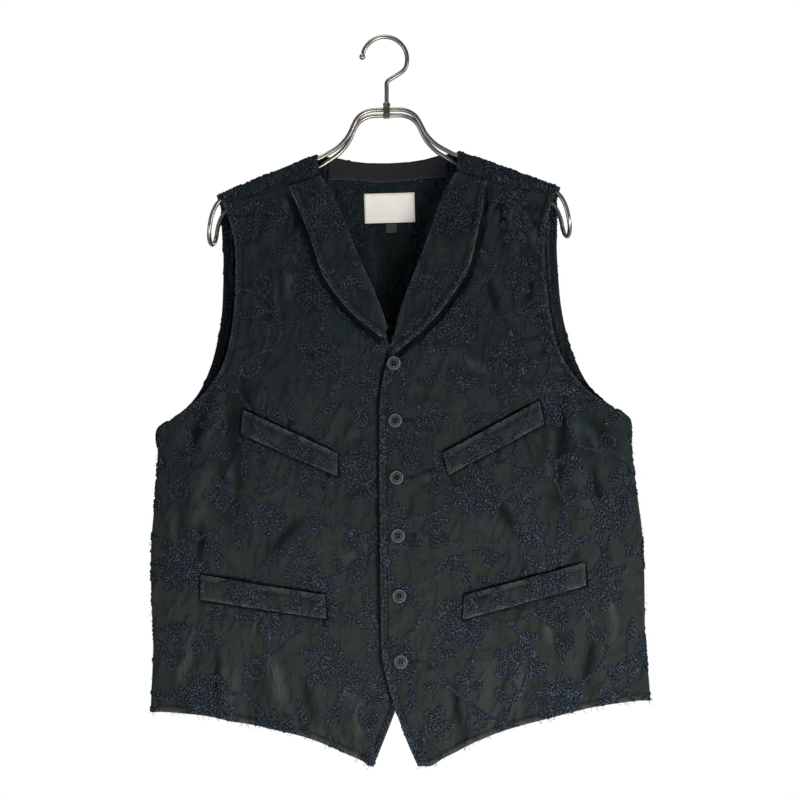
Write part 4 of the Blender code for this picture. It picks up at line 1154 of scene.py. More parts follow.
def yarn_shape(points, normals, radius, height):
    """Corners and faces of one closed, three-sided yarn along points, in their own units."""
    count = len(points)
    height = np.broadcast_to(np.asarray(height), count)[:, None]
    beside = unit(np.cross(np.gradient(points, axis=0), normals))
    foot = points - normals * SINK
    corners = np.stack([foot - beside * radius, points + normals * height, foot + beside * radius],
        axis=1).reshape(-1, 3)
    start = 3 * np.arange(count - 1)[:, None]
    quads = np.concatenate([start + np.array((a, b, b + 3, a + 3)) for a, b in ((0, 1), (1, 2), (2, 0))])
    end = 3 * (count - 1)
    caps = np.array(((0, 2, 1), (end, end + 1, end + 2)))
    return corners, quads, caps


def yarn_object(name, runs, radius, height, material, dip=0.0):
    """All the runs of one kind of yarn on a piece, as one mesh. A run is its points and
    its normals, upright and in millimetres. dip is how far each loop sinks at its end, as
    a share of its height."""
    corners, quads, caps, crowns, count = [], [], [], [], 0
    for points, normals in runs:
        looped = np.arange(len(points)) % LOOP_STATIONS
        rise = 1 - dip * (looped == 0)
        # The crown value is 1 on a yarn's ridge and lower where a loop sinks; the yarn material paints its
        # lit colours there and painted shade on the flanks
        crowns.append(np.stack([0.0 * rise, rise, 0.0 * rise], axis=1).ravel())
        made = yarn_shape(np.asarray(points), np.asarray(normals), radius, height * rise)
        corners.append(made[0])
        quads.append(made[1] + count)
        caps.append(made[2] + count)
        count += len(made[0])
    mesh = bpy.data.meshes.new(name)
    faces = np.concatenate(quads).tolist() + np.concatenate(caps).tolist()
    mesh.from_pydata(leant(np.concatenate(corners)).tolist(), [], faces)
    crown = mesh.attributes.new("crown", "FLOAT", "POINT")
    crown.data.foreach_set("value", np.concatenate(crowns).astype(np.float32))
    mesh.shade_smooth()
    mesh.materials.append(material)
    obj = bpy.data.objects.new(name, mesh)
    bpy.context.scene.collection.objects.link(obj)
    return fit_to_body(obj)


def embroider(name, cloth, lines, offset, wall, material, out=1.0, covers=(), keep=None,
              extra=()):
    """Lays the repeated embroidery on a panel, cut off at its edges and under what
    covers it. out is -1 on the panel's inner face, keep picks the points that may have
    yarn, and extra holds ready runs of it."""
    u_low, u_high = cloth.u.min(), cloth.u.max()
    v_low, v_high = cloth.v.min(), cloth.v.max()
    near = []
    for a in range(floor((u_low - offset[0]) / REPEAT_W) - 1,
                   ceil((u_high - offset[0]) / REPEAT_W) + 1):
        for b in range(floor((v_low - offset[1]) / REPEAT_H) - 1,
                       ceil((v_high - offset[1]) / REPEAT_H) + 1):
            shift = np.array((offset[0] + a * REPEAT_W, offset[1] + b * REPEAT_H))
            for line in lines:
                moved = line + shift
                low, high = moved.min(axis=0), moved.max(axis=0)
                if low[0] < u_high and high[0] > u_low and low[1] < v_high and high[1] > v_low:
                    near.append(moved)
    points, normals, on_it = cloth.lift(np.concatenate(near))
    normals = normals * out
    if keep:
        on_it &= keep(points)
    for k in np.nonzero(on_it)[0]:
        point, normal = Vector(points[k]), Vector(normals[k])
        if any(tree.ray_cast(point + normal * 0.3, normal, COVER_REACH)[0] for tree in covers):
            on_it[k] = False
    points = points + normals * 0.5 * wall
    runs, first = list(extra), 0
    for line in near:
        end = first + len(line)
        cuts = np.nonzero(np.diff(np.concatenate([[0], on_it[first:end], [0]])))[0]
        for start, stop in zip(cuts[::2], cuts[1::2]):
            if stop - start >= 3:
                piece = slice(first + start, first + stop)
                runs.append((points[piece], normals[piece]))
        first = end
    return yarn_object(name, runs, YARN_R, YARN_H, material, LOOP_DIP)


def edging(line, wall, seed, gap):
    """Looped yarn that runs on along an edge: the points and normals of its stretches, with
    gaps of up to a given length between them."""
    rng = random.Random(seed)
    points, normals = (np.array(part) for part in zip(*line))
    run = run_of(points)
    beside = unit(np.cross(np.gradient(points, axis=0), normals))
    runs, start = [], rng.uniform(0.0, 20.0)
    while start < run[-1] - 8.0:
        end = min(run[-1], start + rng.uniform(18.0, 75.0))
        at = np.arange(start, end, YARN_STEP)
        place, way, aside = (read_along(at, run, part) for part in (points, normals, beside))
        swing = LOOP_SWING * np.sin(2 * pi * at / (LOOP_WAVE * rng.uniform(0.8, 1.2)))
        swing += np.array([wobble(a / 3.0, seed, 0.0) for a in at])
        runs.append((place + way * 0.5 * wall + aside * swing[:, None], way))
        start = end + rng.uniform(1.0, gap)
    return runs


def forwards(count):
    """As many normals that point out of the garment's front."""
    return np.tile((0.0, -1.0, 0.0), (count, 1))


def sewn(lines, wall, pitch=STITCH_PITCH, length=STITCH_L):
    """Single stitches along lines of points and normals, dipping into the cloth at both
    ends."""
    runs = []
    for line in lines:
        points, normals = (np.array(part) for part in zip(*line))
        run = run_of(points)
        for start in np.arange(0.0, run[-1] - length, pitch):
            at = np.linspace(start, start + length, 4)
            place, way = (read_along(at, run, part) for part in (points, normals))
            dip = np.array((-0.35, 0.05, 0.05, -0.35))[:, None]
            runs.append((place + way * (0.5 * wall + dip), way))
    return runs


def fit_to_body(obj, stands_for=None):
    """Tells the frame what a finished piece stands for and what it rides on."""
    if stands_for:
        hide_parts(stands_for)
    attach(obj, "root")
    return obj


def cloth_object(node_name, cloth, wall, material, edges=(), name=None):
    """The panel as a closed wall. Its UV map is the unrolled cloth in metres, and its
    wear attribute rises to 1 at the rubbed edges, lists of which rims are given."""
    mesh = bpy.data.meshes.new(name or f"{node_name}_cloth")
    faces = [face[::-1] for face in cloth.faces] if cloth.turned else cloth.faces
    mesh.from_pydata(leant(cloth.points.reshape(-1, 3)).tolist(), [], faces)
    layer = mesh.uv_layers.new(name="cloth")
    flat = np.stack([cloth.u.ravel(), cloth.v.ravel()], axis=1) * MM
    index = np.zeros(len(mesh.loops), int)
    mesh.loops.foreach_get("vertex_index", index)
    layer.data.foreach_set("uv", flat[index].ravel())
    rows, columns = cloth.u.shape
    away = np.full((rows, columns), 99.0)
    across = np.abs(cloth.u - cloth.u[:, :1])
    along = np.abs(cloth.v - cloth.v[:1])
    rims = {"first": across, "last": across[:, -1:] - across, "low": along, "top": along[-1:] - along}
    for edge in edges:
        away = np.minimum(away, rims[edge])
    wear = mesh.attributes.new("wear", "FLOAT", "POINT")
    wear.data.foreach_set("value", np.exp(-away / WEAR_REACH).ravel().astype(np.float32))
    # Relief value from which the cloth material paints shade into valleys and grooves, and highlight and
    # wear onto crests
    wear_and_shade = mesh.attributes.new("wear_and_shade", "FLOAT", "POINT")
    wear_and_shade.data.foreach_set("value", cloth.wear_and_shade.ravel().astype(np.float32))
    bm = bmesh.new()
    bm.from_mesh(mesh)
    loose = [vert for vert in bm.verts if not vert.link_faces]
    bmesh.ops.delete(bm, geom=loose, context="VERTS")
    bm.to_mesh(mesh)
    bm.free()
    mesh.shade_smooth()
    mesh.materials.append(material)
    obj = bpy.data.objects.new(mesh.name, mesh)
    bpy.context.scene.collection.objects.link(obj)
    shell = obj.modifiers.new("wall", "SOLIDIFY")
    shell.thickness = wall * MM
    shell.offset = 0.0
    return fit_to_body(obj, node_name)


def linear(hex_colour, alpha=1.0):
    """An sRGB hex colour as linear light."""
    channels = [int(hex_colour[i:i + 2], 16) / 255.0 for i in (0, 2, 4)]
    return (*[c / 12.92 if c <= 0.04045 else ((c + 0.055) / 1.055) ** 2.4 for c in channels], alpha)


# A Mix node's sockets when it mixes colours, and the outputs that nodes are mostly read by
MIX_FACTOR, MIX_A, MIX_B, MIX_OUT = 0, 6, 7, 2
USUAL_OUTPUTS = ("Fac", "Result", "Value", "Object", "Normal", "UV", "Vector")


def read_from(made):
    """The usual output of a node."""
    if made.bl_idname == "ShaderNodeMix":
        return made.outputs[MIX_OUT]
    return next(made.outputs[name] for name in USUAL_OUTPUTS if name in made.outputs)


def node(tree, kind, inputs=None, **settings):
    """Adds one shader node; an input is a plain value, or the node or socket that feeds it."""
    made = tree.nodes.new(f"ShaderNode{kind}")
    if kind == "Mix":
        made.data_type = "RGBA"
    for name, value in settings.items():
        setattr(made, name, value)
    for socket, value in (inputs or {}).items():
        if isinstance(value, bpy.types.Node):
            value = read_from(value)
        if isinstance(value, bpy.types.NodeSocket):
            tree.links.new(value, made.inputs[socket])
        else:
            made.inputs[socket].default_value = value
    return made


def new_material(name, roughness, metallic=0.0, ior=1.5, **more):
    """A Principled material with what is the same all over its surface."""
    material = bpy.data.materials.new(name)
    material.use_nodes = True
    shader = material.node_tree.nodes["Principled BSDF"]
    values = {"Roughness": roughness, "Metallic": metallic, "IOR": ior, **more}
    for socket, value in values.items():
        shader.inputs[socket].default_value = value
    return material, material.node_tree


def surface(material, varying):
    """Feeds what varies over the surface into a material's shader, and gives it back."""
    tree = material.node_tree
    for socket, made in varying.items():
        tree.links.new(read_from(made), tree.nodes["Principled BSDF"].inputs[socket])
    return material


def washed_twill(name, shades, thread_mm, bump_mm, sheen, wrinkle_mm):
    """Garment-washed cotton twill: ring-spun yarns woven in diagonal ribs, overdyed and
    washed soft. The dye is uneven in broad patches, the ribs catch a dull light, and
    rubbed edges are paler and drier."""
    material, tree = new_material(name, 0.86, **{"Sheen Weight": sheen, "Sheen Roughness": 0.55,
        "Sheen Tint": linear("9AA0A6"), "Specular IOR Level": 0.04})
    uv = node(tree, "UVMap", uv_map="cloth")
    # Real twill yarns lie 0.35 mm apart; the ribs are drawn coarser so that they show
    ribs = node(tree, "TexWave", {"Vector": uv, "Scale": 0.314 / (thread_mm * MM), "Distortion": 1.4,
        "Detail": 2.0, "Detail Scale": 3.0}, wave_type="BANDS", bands_direction="DIAGONAL")
    slubs = node(tree, "TexNoise", {"Vector": uv, "Scale": 1 / (1.6 * MM), "Detail": 3.0,
        "Roughness": 0.65})
    patches = node(tree, "TexNoise", {"Vector": uv, "Scale": 1 / (95.0 * MM), "Detail": 3.0,
        "Roughness": 0.55})
    marks = node(tree, "TexNoise", {"Vector": uv, "Scale": 1 / (22.0 * MM), "Detail": 4.0,
        "Roughness": 0.6})
    # Painted shade: the cloth is painted darker in the upper half of the garment and paler in the lower
    place = node(tree, "SeparateXYZ", {"Vector": uv})
    depth = node(tree, "MapRange", {"Value": place.outputs["Y"], "From Min": SHADED_TOP_Z * MM,
        "From Max": LIT_LOW_Z * MM, "To Min": -0.35, "To Max": 0.35}, clamp=True)
    broad = node(tree, "Math", {0: patches, 1: depth}, operation="ADD")
    broad = node(tree, "MapRange", {"Value": broad, "From Min": 0.2, "From Max": 0.85})
    dyed = node(tree, "Mix", {MIX_FACTOR: broad, MIX_A: linear(shades[0]), MIX_B: linear(shades[1])})
    stained = node(tree, "MapRange", {"Value": marks, "From Min": 0.52, "From Max": 0.8, "To Max": 0.5})
    faded = node(tree, "Mix", {MIX_FACTOR: stained, MIX_A: dyed, MIX_B: linear(shades[2])})
    # Painted shade and highlight: the valleys of the creases and the grooves beside the lapels, welts and
    # top front are painted darker, and the crests of the creases and stitched borders paler; washing wear
    # on the crests is part of the paler tone
    wear_and_shade = node(tree, "Attribute", attribute_name="wear_and_shade")
    height = node(tree, "MapRange", {"Value": wear_and_shade, "From Min": -CREST_HEIGHT, "From Max": CREST_HEIGHT,
        "To Min": VALLEY_PAINTED_SHADE, "To Max": CREST_WEAR_AND_HIGHLIGHT})
    faded = node(tree, "Mix", {MIX_FACTOR: 1.0, MIX_A: faded, MIX_B: height}, blend_type="MULTIPLY")
    wear = node(tree, "Attribute", attribute_name="wear")
    specks = node(tree, "MapRange", {"Value": slubs, "From Min": 0.44, "From Max": 0.66})
    rubbed = node(tree, "Math", {0: wear, 1: specks}, operation="MULTIPLY")
    worn = node(tree, "Mix", {MIX_FACTOR: rubbed, MIX_A: faded, MIX_B: linear(shades[3])})
    weave = node(tree, "Math", {0: ribs, 1: slubs}, operation="MULTIPLY")
    threads = node(tree, "MapRange", {"Value": weave, "From Max": 0.6, "To Min": 0.78, "To Max": 1.18})
    tinted = node(tree, "Mix", {MIX_FACTOR: 1.0, MIX_A: worn, MIX_B: threads}, blend_type="MULTIPLY")
    # Small sharp wrinkles that never iron out, longer up the cloth than across it
    stretched = node(tree, "Mapping", {"Vector": uv, "Scale": (1.5, 0.8, 1.0)})
    wrinkles = node(tree, "TexNoise", {"Vector": stretched, "Scale": 1 / (WRINKLE_MM * MM), "Detail": 3.0,
        "Roughness": 0.55, "Offset": 0.9, "Gain": 2.0}, noise_type="RIDGED_MULTIFRACTAL")
    wrinkled = node(tree, "Bump", {"Height": wrinkles, "Distance": wrinkle_mm * MM, "Strength": 1.0})
    bump = node(tree, "Bump", {"Height": weave, "Distance": bump_mm * MM, "Strength": 0.7,
        "Normal": wrinkled})
    return surface(material, {"Base Color": tinted, "Normal": bump})


def cotton_yarn(name, shades, grain_mm, roughness, sheen):
    """Soft-twisted cotton yarn: dyed in the hank, so its shade drifts along it, with a fuzz that scatters
    a bluish light and plies that break up the highlight. Its colour has light and shade painted in: a
    painted highlight on the plies of its crown, and painted shade on its flanks and at the sunk ends of
    its loops."""
    material, tree = new_material(name, roughness, **{"Sheen Weight": sheen, "Sheen Roughness": 0.4,
        "Sheen Tint": linear("A9B4C6"), "Specular IOR Level": 0.08})
    place = node(tree, "TexCoord")
    plies = node(tree, "TexNoise", {"Vector": place, "Scale": 1 / (grain_mm * MM), "Detail": 2.0})
    drift = node(tree, "TexNoise", {"Vector": place, "Scale": 1 / (48.0 * MM), "Detail": 2.0})
    spread = node(tree, "MapRange", {"Value": drift, "From Min": 0.35, "From Max": 0.65})
    hank = node(tree, "Mix", {MIX_FACTOR: spread, MIX_A: linear(shades[0]), MIX_B: linear(shades[1])})
    lit = node(tree, "MapRange", {"Value": plies, "From Min": 0.48, "From Max": 0.74, "To Max": 0.85})
    mixed = node(tree, "Mix", {MIX_FACTOR: lit, MIX_A: hank, MIX_B: linear(shades[2])})
    # Painted shade and highlight: only the crown of a yarn keeps its lit colours; its flanks are painted
    # near black as the shade of the next yarn
    crown = node(tree, "Attribute", attribute_name="crown")
    height = node(tree, "MapRange", {"Value": crown, "From Min": 0.6, "From Max": 0.9})
    mixed = node(tree, "Mix", {MIX_FACTOR: height, MIX_A: linear(shades[3]), MIX_B: mixed})
    # Painted shade: like the cloth, the yarn is painted darker in the upper half of the garment
    level = node(tree, "SeparateXYZ", {"Vector": place})
    depth = node(tree, "MapRange", {"Value": level.outputs["Z"], "From Min": SHADED_TOP_Z * MM,
        "From Max": LIT_LOW_Z * MM, "To Min": 0.74, "To Max": 1.08}, clamp=True)
    mixed = node(tree, "Mix", {MIX_FACTOR: 1.0, MIX_A: mixed, MIX_B: depth}, blend_type="MULTIPLY")
    bump = node(tree, "Bump", {"Height": plies, "Distance": 0.25 * MM, "Strength": 0.6})
    return surface(material, {"Base Color": mixed, "Normal": bump})


def woven_label(name, ground, thread, thread_mm):
    """Damask-woven polyester label: fine flat yarns, so it is bright, with a faint
    crosswise rib and a dull silk gloss."""
    material, tree = new_material(name, 0.55, **{"Sheen Weight": 0.15, "Specular IOR Level": 0.4})
    uv = node(tree, "UVMap", uv_map="cloth")
    ribs = node(tree, "TexWave", {"Vector": uv, "Scale": 0.314 / (thread_mm * MM), "Distortion": 0.8,
        "Detail": 1.0}, wave_type="BANDS", bands_direction="Y")
    soil = node(tree, "TexNoise", {"Vector": uv, "Scale": 1 / (14.0 * MM), "Detail": 3.0})
    amount = node(tree, "Math", {0: ribs, 1: soil}, operation="MULTIPLY")
    mixed = node(tree, "Mix", {MIX_FACTOR: amount, MIX_A: linear(ground), MIX_B: linear(thread)})
    bump = node(tree, "Bump", {"Height": ribs, "Distance": 0.12 * MM, "Strength": 0.6})
    return surface(material, {"Base Color": mixed, "Normal": bump})


def cast_polyester():
    """Cast polyester button blank, turned and tumbled: a dark body with faint cloudy streaks, a painted
    highlight round its rim and a fainter one on an inner ring, and a soft gloss that is duller where it
    has rubbed."""
    material, tree = new_material("cast_polyester_button", 0.28, ior=1.55,
        **{"Coat Weight": 0.05, "Coat Roughness": 0.2, "Specular IOR Level": 0.22})
    place = node(tree, "TexCoord")
    clouds = node(tree, "TexNoise", {"Vector": place, "Scale": 1 / (5 * MM), "Detail": 4.0,
        "Distortion": 1.2})
    rubbed = node(tree, "TexNoise", {"Vector": place, "Scale": 1 / (1.2 * MM), "Detail": 3.0})
    cast = node(tree, "Mix", {MIX_FACTOR: clouds, MIX_A: linear("1A1D1F"), MIX_B: linear("2E3235")})
    worn = node(tree, "Attribute", attribute_name="rubbed")
    # Painted highlight: the rim and an inner ring are painted pale, as a glint of light round them
    colour = node(tree, "Mix", {MIX_FACTOR: worn, MIX_A: cast, MIX_B: linear("6C7073")})
    gloss = node(tree, "MapRange", {"Value": rubbed, "To Min": 0.2, "To Max": 0.42})
    return surface(material, {"Base Color": colour, "Roughness": gloss})


def plated_steel(name, bright, dark, low, high):
    """Drawn steel wire with a black-nickel plating: a warm grey mirror softened by
    drawing marks along the wire and dulled where fingers and rails rub it."""
    material, tree = new_material(name, low, metallic=1.0)
    place = node(tree, "TexCoord")
    stains = node(tree, "TexNoise", {"Vector": place, "Scale": 1 / (9 * MM), "Detail": 5.0,
        "Roughness": 0.6})
    grain = node(tree, "TexNoise", {"Vector": place, "Scale": 1 / (0.7 * MM), "Detail": 2.0})
    colour = node(tree, "Mix", {MIX_FACTOR: stains, MIX_A: linear(bright), MIX_B: linear(dark)})
    rough = node(tree, "MapRange", {"Value": stains, "From Min": 0.3, "From Max": 0.7, "To Min": low,
        "To Max": high})
    bump = node(tree, "Bump", {"Height": grain, "Distance": 0.02 * MM, "Strength": 0.1})
    return surface(material, {"Base Color": colour, "Roughness": rough, "Normal": bump})


def matt_paint(name, hex_colour):
    """Wall paint rolled on in two coats, its stipple just lifting the light."""
    material, tree = new_material(name, 0.9, **{"Base Color": linear(hex_colour)})
    place = node(tree, "TexCoord")
    stipple = node(tree, "TexNoise", {"Vector": place, "Scale": 1 / (6 * MM)})
    bump = node(tree, "Bump", {"Height": stipple, "Distance": 0.2 * MM, "Strength": 0.2})
    return surface(material, {"Normal": bump})


def start_fresh():
    """An operator acts on all that is selected, so nothing is before a piece is begun."""
    bpy.ops.object.select_all(action="DESELECT")


def mode(name):
    bpy.ops.object.mode_set(mode=name)


def pick_faces(obj, chosen):
    """In edit mode, selects the faces that a test picks by centre and normal."""
    bpy.ops.mesh.select_mode(type="FACE")
    bpy.ops.mesh.select_all(action="DESELECT")
    bm = bmesh.from_edit_mesh(obj.data)
    for face in bm.faces:
        if chosen(face.calc_center_median(), face.normal):
            face.select_set(True)
    bmesh.update_edit_mesh(obj.data)


def settle(obj, name, material):
    """Applies the modifiers and the place of a finished piece."""
    obj.name = obj.data.name = name
    bpy.context.view_layer.objects.active = obj
    for modifier in list(obj.modifiers):
        bpy.ops.object.modifier_apply(modifier=modifier.name)
    bpy.ops.object.transform_apply(location=True, rotation=True, scale=True)
    obj.data.materials.clear()
    obj.data.materials.append(material)
    bpy.ops.object.shade_smooth_by_angle(angle=radians(38.0))
    return obj


def draw_out(move, widen=(1.0, 1.0, 1.0)):
    """In edit mode, draws the picked faces out and then widens or narrows them."""
    bpy.ops.mesh.extrude_region_move(TRANSFORM_OT_translate={"value": move})
    bpy.ops.transform.resize(value=widen)


def bevel(obj, width, angle_deg=30.0):
    """Rounds the edges that are sharper than an angle."""
    rounded = obj.modifiers.new("rounded", "BEVEL")
    rounded.width = width
    rounded.segments = 3
    rounded.limit_method = "ANGLE"
    rounded.angle_limit = radians(angle_deg)


def button_blank(radius, height, material):
    """One button, face up at the origin: turned rim, dished middle and four holes."""
    start_fresh()
    bpy.ops.mesh.primitive_cylinder_add(vertices=56, radius=0.86 * radius, depth=0.5 * height,
        location=(0.0, 0.0, 0.25 * height))
    obj = bpy.context.object
    mode("EDIT")
    pick_faces(obj, lambda centre, normal: normal.z > 0.9)
    for rise, widen in ((0.14, 1.16), (0.2, 0.97), (0.16, 0.88)):
        draw_out((0.0, 0.0, rise * height), (widen, widen, 1.0))
    for inset, rise in ((0.07, 0.0), (0.1, -0.38), (0.1, 0.0), (0.05, 0.14), (0.04, 0.0)):
        bpy.ops.mesh.inset(thickness=inset * radius)
        bpy.ops.transform.translate(value=(0.0, 0.0, rise * height))
    mode("OBJECT")
    bevel(obj, 0.035 * radius, 22.0)
    cutters = []
    for k in range(4):
        angle = radians(45.0 + 90.0 * k)
        place = (HOLE_OUT * MM * cos(angle), HOLE_OUT * MM * sin(angle), 0.0)
        bpy.ops.mesh.primitive_cylinder_add(vertices=20, radius=HOLE_R * MM, depth=4 * height,
            location=place)
        cutters.append(bpy.context.object)
        hole = obj.modifiers.new(f"hole_{k + 1}", "BOOLEAN")
        hole.operation = "DIFFERENCE"
        hole.object = cutters[-1]
    start_fresh()
    obj.select_set(True)
    settle(obj, "button_blank", material)
    for cutter in cutters:
        bpy.data.objects.remove(cutter)
    # The rubbed values mark where the button material paints its highlight: round the top of the rim, and
    # more faintly on an inner ring
    rubbed = obj.data.attributes.new("rubbed", "FLOAT", "POINT")
    for value, vert in zip(rubbed.data, obj.data.vertices):
        out = hypot(vert.co.x, vert.co.y) / radius
        on_top = ease(0.7, 0.95, vert.co.z / height)
        value.value = on_top * ease(0.06, 0.0, abs(out - 0.86))
        value.value += 0.4 * ease(0.06, 0.0, abs(out - 0.56))
    return obj


def buttons(material, thread):
    """Six copies of the button on the left front, each with the cross of its thread."""
    low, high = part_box("button_1")
    blank = button_blank(0.5 * (high.x - low.x), high.y - low.y, material)
    for number in range(1, 7):
        low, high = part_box(f"button_{number}")
        place = Vector((0.5 * (low.x + high.x), high.y, 0.5 * (low.z + high.z)))
        start_fresh()
        obj = blank.copy()
        obj.data = blank.data.copy()
        bpy.context.scene.collection.objects.link(obj)
        obj.select_set(True)
        bpy.context.view_layer.objects.active = obj
        obj.rotation_euler = (radians(90.0), radians(BUTTON_SPINS[number - 1]), 0.0)
        obj.location = place
        bpy.ops.object.transform_apply(location=True, rotation=True, scale=True)
        obj.name = obj.data.name = f"turned_button_{number}"
        fit_to_body(obj, f"button_{number}")
        cross_thread(number, place, high.y - low.y, thread)
    bpy.data.objects.remove(blank)


def cross_thread(number, place, height, thread):
    """Sewing thread crossed over the middle of the button, through its four holes."""
    face = -0.56 * height
    runs = []
    spin = radians(BUTTON_SPINS[number - 1])
    for k in range(2):
        angle = spin + radians(45.0 + 90.0 * k)
        ahead = Vector((cos(angle), 0.0, sin(angle)))
        points = []
        for step in range(9):
            share = step / 4.0 - 1.0
            rise = (0.3 + 0.2 * k) * (1 - share ** 4) - 0.9 * abs(share) ** 6
            middle = place + ahead * share * (HOLE_OUT - 0.4) * MM
            points.append(middle + Vector((0.0, face - rise * MM, 0.0)))
        runs.append((np.array(points) / MM, forwards(9)))
    upright = [(leant(points, -HANG_TILT, 1.0), normals) for points, normals in runs]
    yarn_object(f"button_thread_{number}", upright, CROSS_R, CROSS_H, thread)


def wire(name, points, radius, closed, node_name, material):
    """A round wire: a bezier curve through its points, given its section and made a mesh, with flat caps
    on its two ends when it is not a loop."""
    start_fresh()
    bpy.ops.curve.primitive_bezier_curve_add()
    obj = bpy.context.object
    curve = obj.data
    curve.splines.clear()
    line = curve.splines.new("BEZIER")
    line.bezier_points.add(len(points) - 1)
    for target, place in zip(line.bezier_points, points):
        target.co = place
        target.handle_left_type = target.handle_right_type = "AUTO"
    line.use_cyclic_u = closed
    curve.dimensions = "3D"
    curve.resolution_u = 8
    curve.bevel_depth = radius * MM
    curve.bevel_resolution = 6
    curve.use_fill_caps = not closed
    bpy.ops.object.convert(target="MESH")
    obj = bpy.context.object
    mode("EDIT")
    bpy.ops.mesh.select_all(action="SELECT")
    bpy.ops.mesh.remove_doubles(threshold=0.00001)
    bpy.ops.mesh.normals_make_consistent(inside=False)
    mode("OBJECT")
    fit_to_body(settle(obj, name, material), node_name)


def hanger(material, dark_material):
    """The two shoulder wires, the hook with its ball tip, and the riveted clip."""
    steps = 2 * (len(WIRE_ROUTE) - 1)
    half = [spline(WIRE_ROUTE, k / 2.0) for k in range(steps + 1)]
    end_x, end_z = half[-1]
    spread = between(WIRE_SPREAD, end_x)
    drop = 2 * spread * tan(WIRE_PITCH)
    turn_steps = 6
    loop = []
    for side in (1.0, -1.0):
        front = [(CLIP_X + side * x, -between(WIRE_SPREAD, x), z) for x, z in half]
        back = [(x - side * LOOP_INSET * ease(end_x - LOOP_INSET_FROM, end_x, side * (x - CLIP_X)), -y,
            z + 2 * y * tan(WIRE_PITCH)) for x, y, z in front]
        turn = []
        for k in range(1, turn_steps):
            angle = pi * k / turn_steps
            past = 0.5 * (1 - cos(angle))
            x = mix(end_x, END_DROP_X, sin(angle)) - LOOP_INSET * past
            z = end_z - drop * past - LOOP_DEPTH * spread * sin(angle)
            turn.append((CLIP_X + side * x, -spread * cos(angle), z))
        quarter = front[1:] + turn + back[:0:-1]
        loop += [front[0], *quarter, back[0]] if side > 0.0 else quarter[::-1]
    wire("hanger_shoulder_wires", leant(loop), WIRE_R, True, "hanger_frame", material)

    centre_z = WIRE_R - HOOK_R
    points = []
    for k in range(27):
        angle = radians(mix(HOOK_START_DEG, HOOK_END_DEG, k / 26.0))
        points.append((HOOK_R * cos(angle), centre_z + HOOK_R * sin(angle)))
    neck = [points[-1], *HOOK_NECK]
    for k in range(1, 2 * (len(neck) - 1) + 1):
        points.append(tuple(spline(neck, k / 2.0)))
    wire("hanger_hook_wire", [Vector((x, 0.0, z)) * MM for x, z in points], WIRE_R, False, "hanger_hook",
        material)

    low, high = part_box("hanger_hook_tip")
    start_fresh()
    bpy.ops.mesh.primitive_uv_sphere_add(segments=32, ring_count=20, radius=0.5 * (high.z - low.z),
        location=0.5 * (low + high))
    ball = bpy.context.object
    mode("EDIT")
    towards = Vector((-sin(radians(HOOK_START_DEG)), 0.0, cos(radians(HOOK_START_DEG))))
    pick_faces(ball, lambda centre, normal: normal.dot(-towards) > 0.93)
    draw_out(-0.6 * MM * towards)
    mode("OBJECT")
    fit_to_body(settle(ball, "hanger_ball_tip", material), "hanger_hook_tip")
    clip(dark_material, material)


def clip(body_material, rivet_material):
    """The pressed block that grips both wires, with a rivet's dome on it and one in front."""
    low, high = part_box("hanger_clip")
    size, centre = high - low, 0.5 * (low + high)
    start_fresh()
    bpy.ops.mesh.primitive_cube_add(size=1.0, location=centre)
    body = bpy.context.object
    body.scale = (0.8 * size.x, size.y, 0.86 * size.z)
    bpy.ops.object.transform_apply(location=True, scale=True, rotation=True)
    mode("EDIT")
    pick_faces(body, lambda at, normal: normal.z > 0.9)
    bpy.ops.mesh.inset(thickness=1.1 * MM)
    draw_out((0, 0, 0.9 * MM), (0.8, 0.5, 1.0))
    pick_faces(body, lambda at, normal: normal.y < -0.9)
    bpy.ops.mesh.inset(thickness=1.3 * MM)
    draw_out((0, 0.5 * MM, 0))
    mode("OBJECT")
    bevel(body, 0.8 * MM)
    fit_to_body(settle(body, "hanger_clip_block", body_material), "hanger_clip")
    stem = Vector((HOOK_NECK[-1][0] * MM, 0.0, high.z))
    start_fresh()
    bpy.ops.mesh.primitive_cylinder_add(vertices=32, radius=4.1 * MM, depth=2.2 * MM,
        location=stem + Vector((0.0, 0.0, 0.4 * MM)))
    collar = bpy.context.object
    mode("EDIT")
    pick_faces(collar, lambda at, normal: normal.z > 0.9)
    draw_out((0, 0, 1.3 * MM), (0.72, 0.72, 1.0))
    mode("OBJECT")
    bevel(collar, 0.4 * MM)
    fit_to_body(settle(collar, "hanger_swivel_cap", rivet_material))


def softbox(name, place, aim, size, watts, tint):
    """A square soft light, turned to face a point."""
    data = bpy.data.lights.new(name, "AREA")
    data.size = size
    data.energy = watts
    data.color = linear(tint)[:3]
    obj = bpy.data.objects.new(name, data)
    obj.location = place
    obj.rotation_euler = (Vector(aim) - Vector(place)).to_track_quat("-Z", "Y").to_euler()
    bpy.context.scene.collection.objects.link(obj)


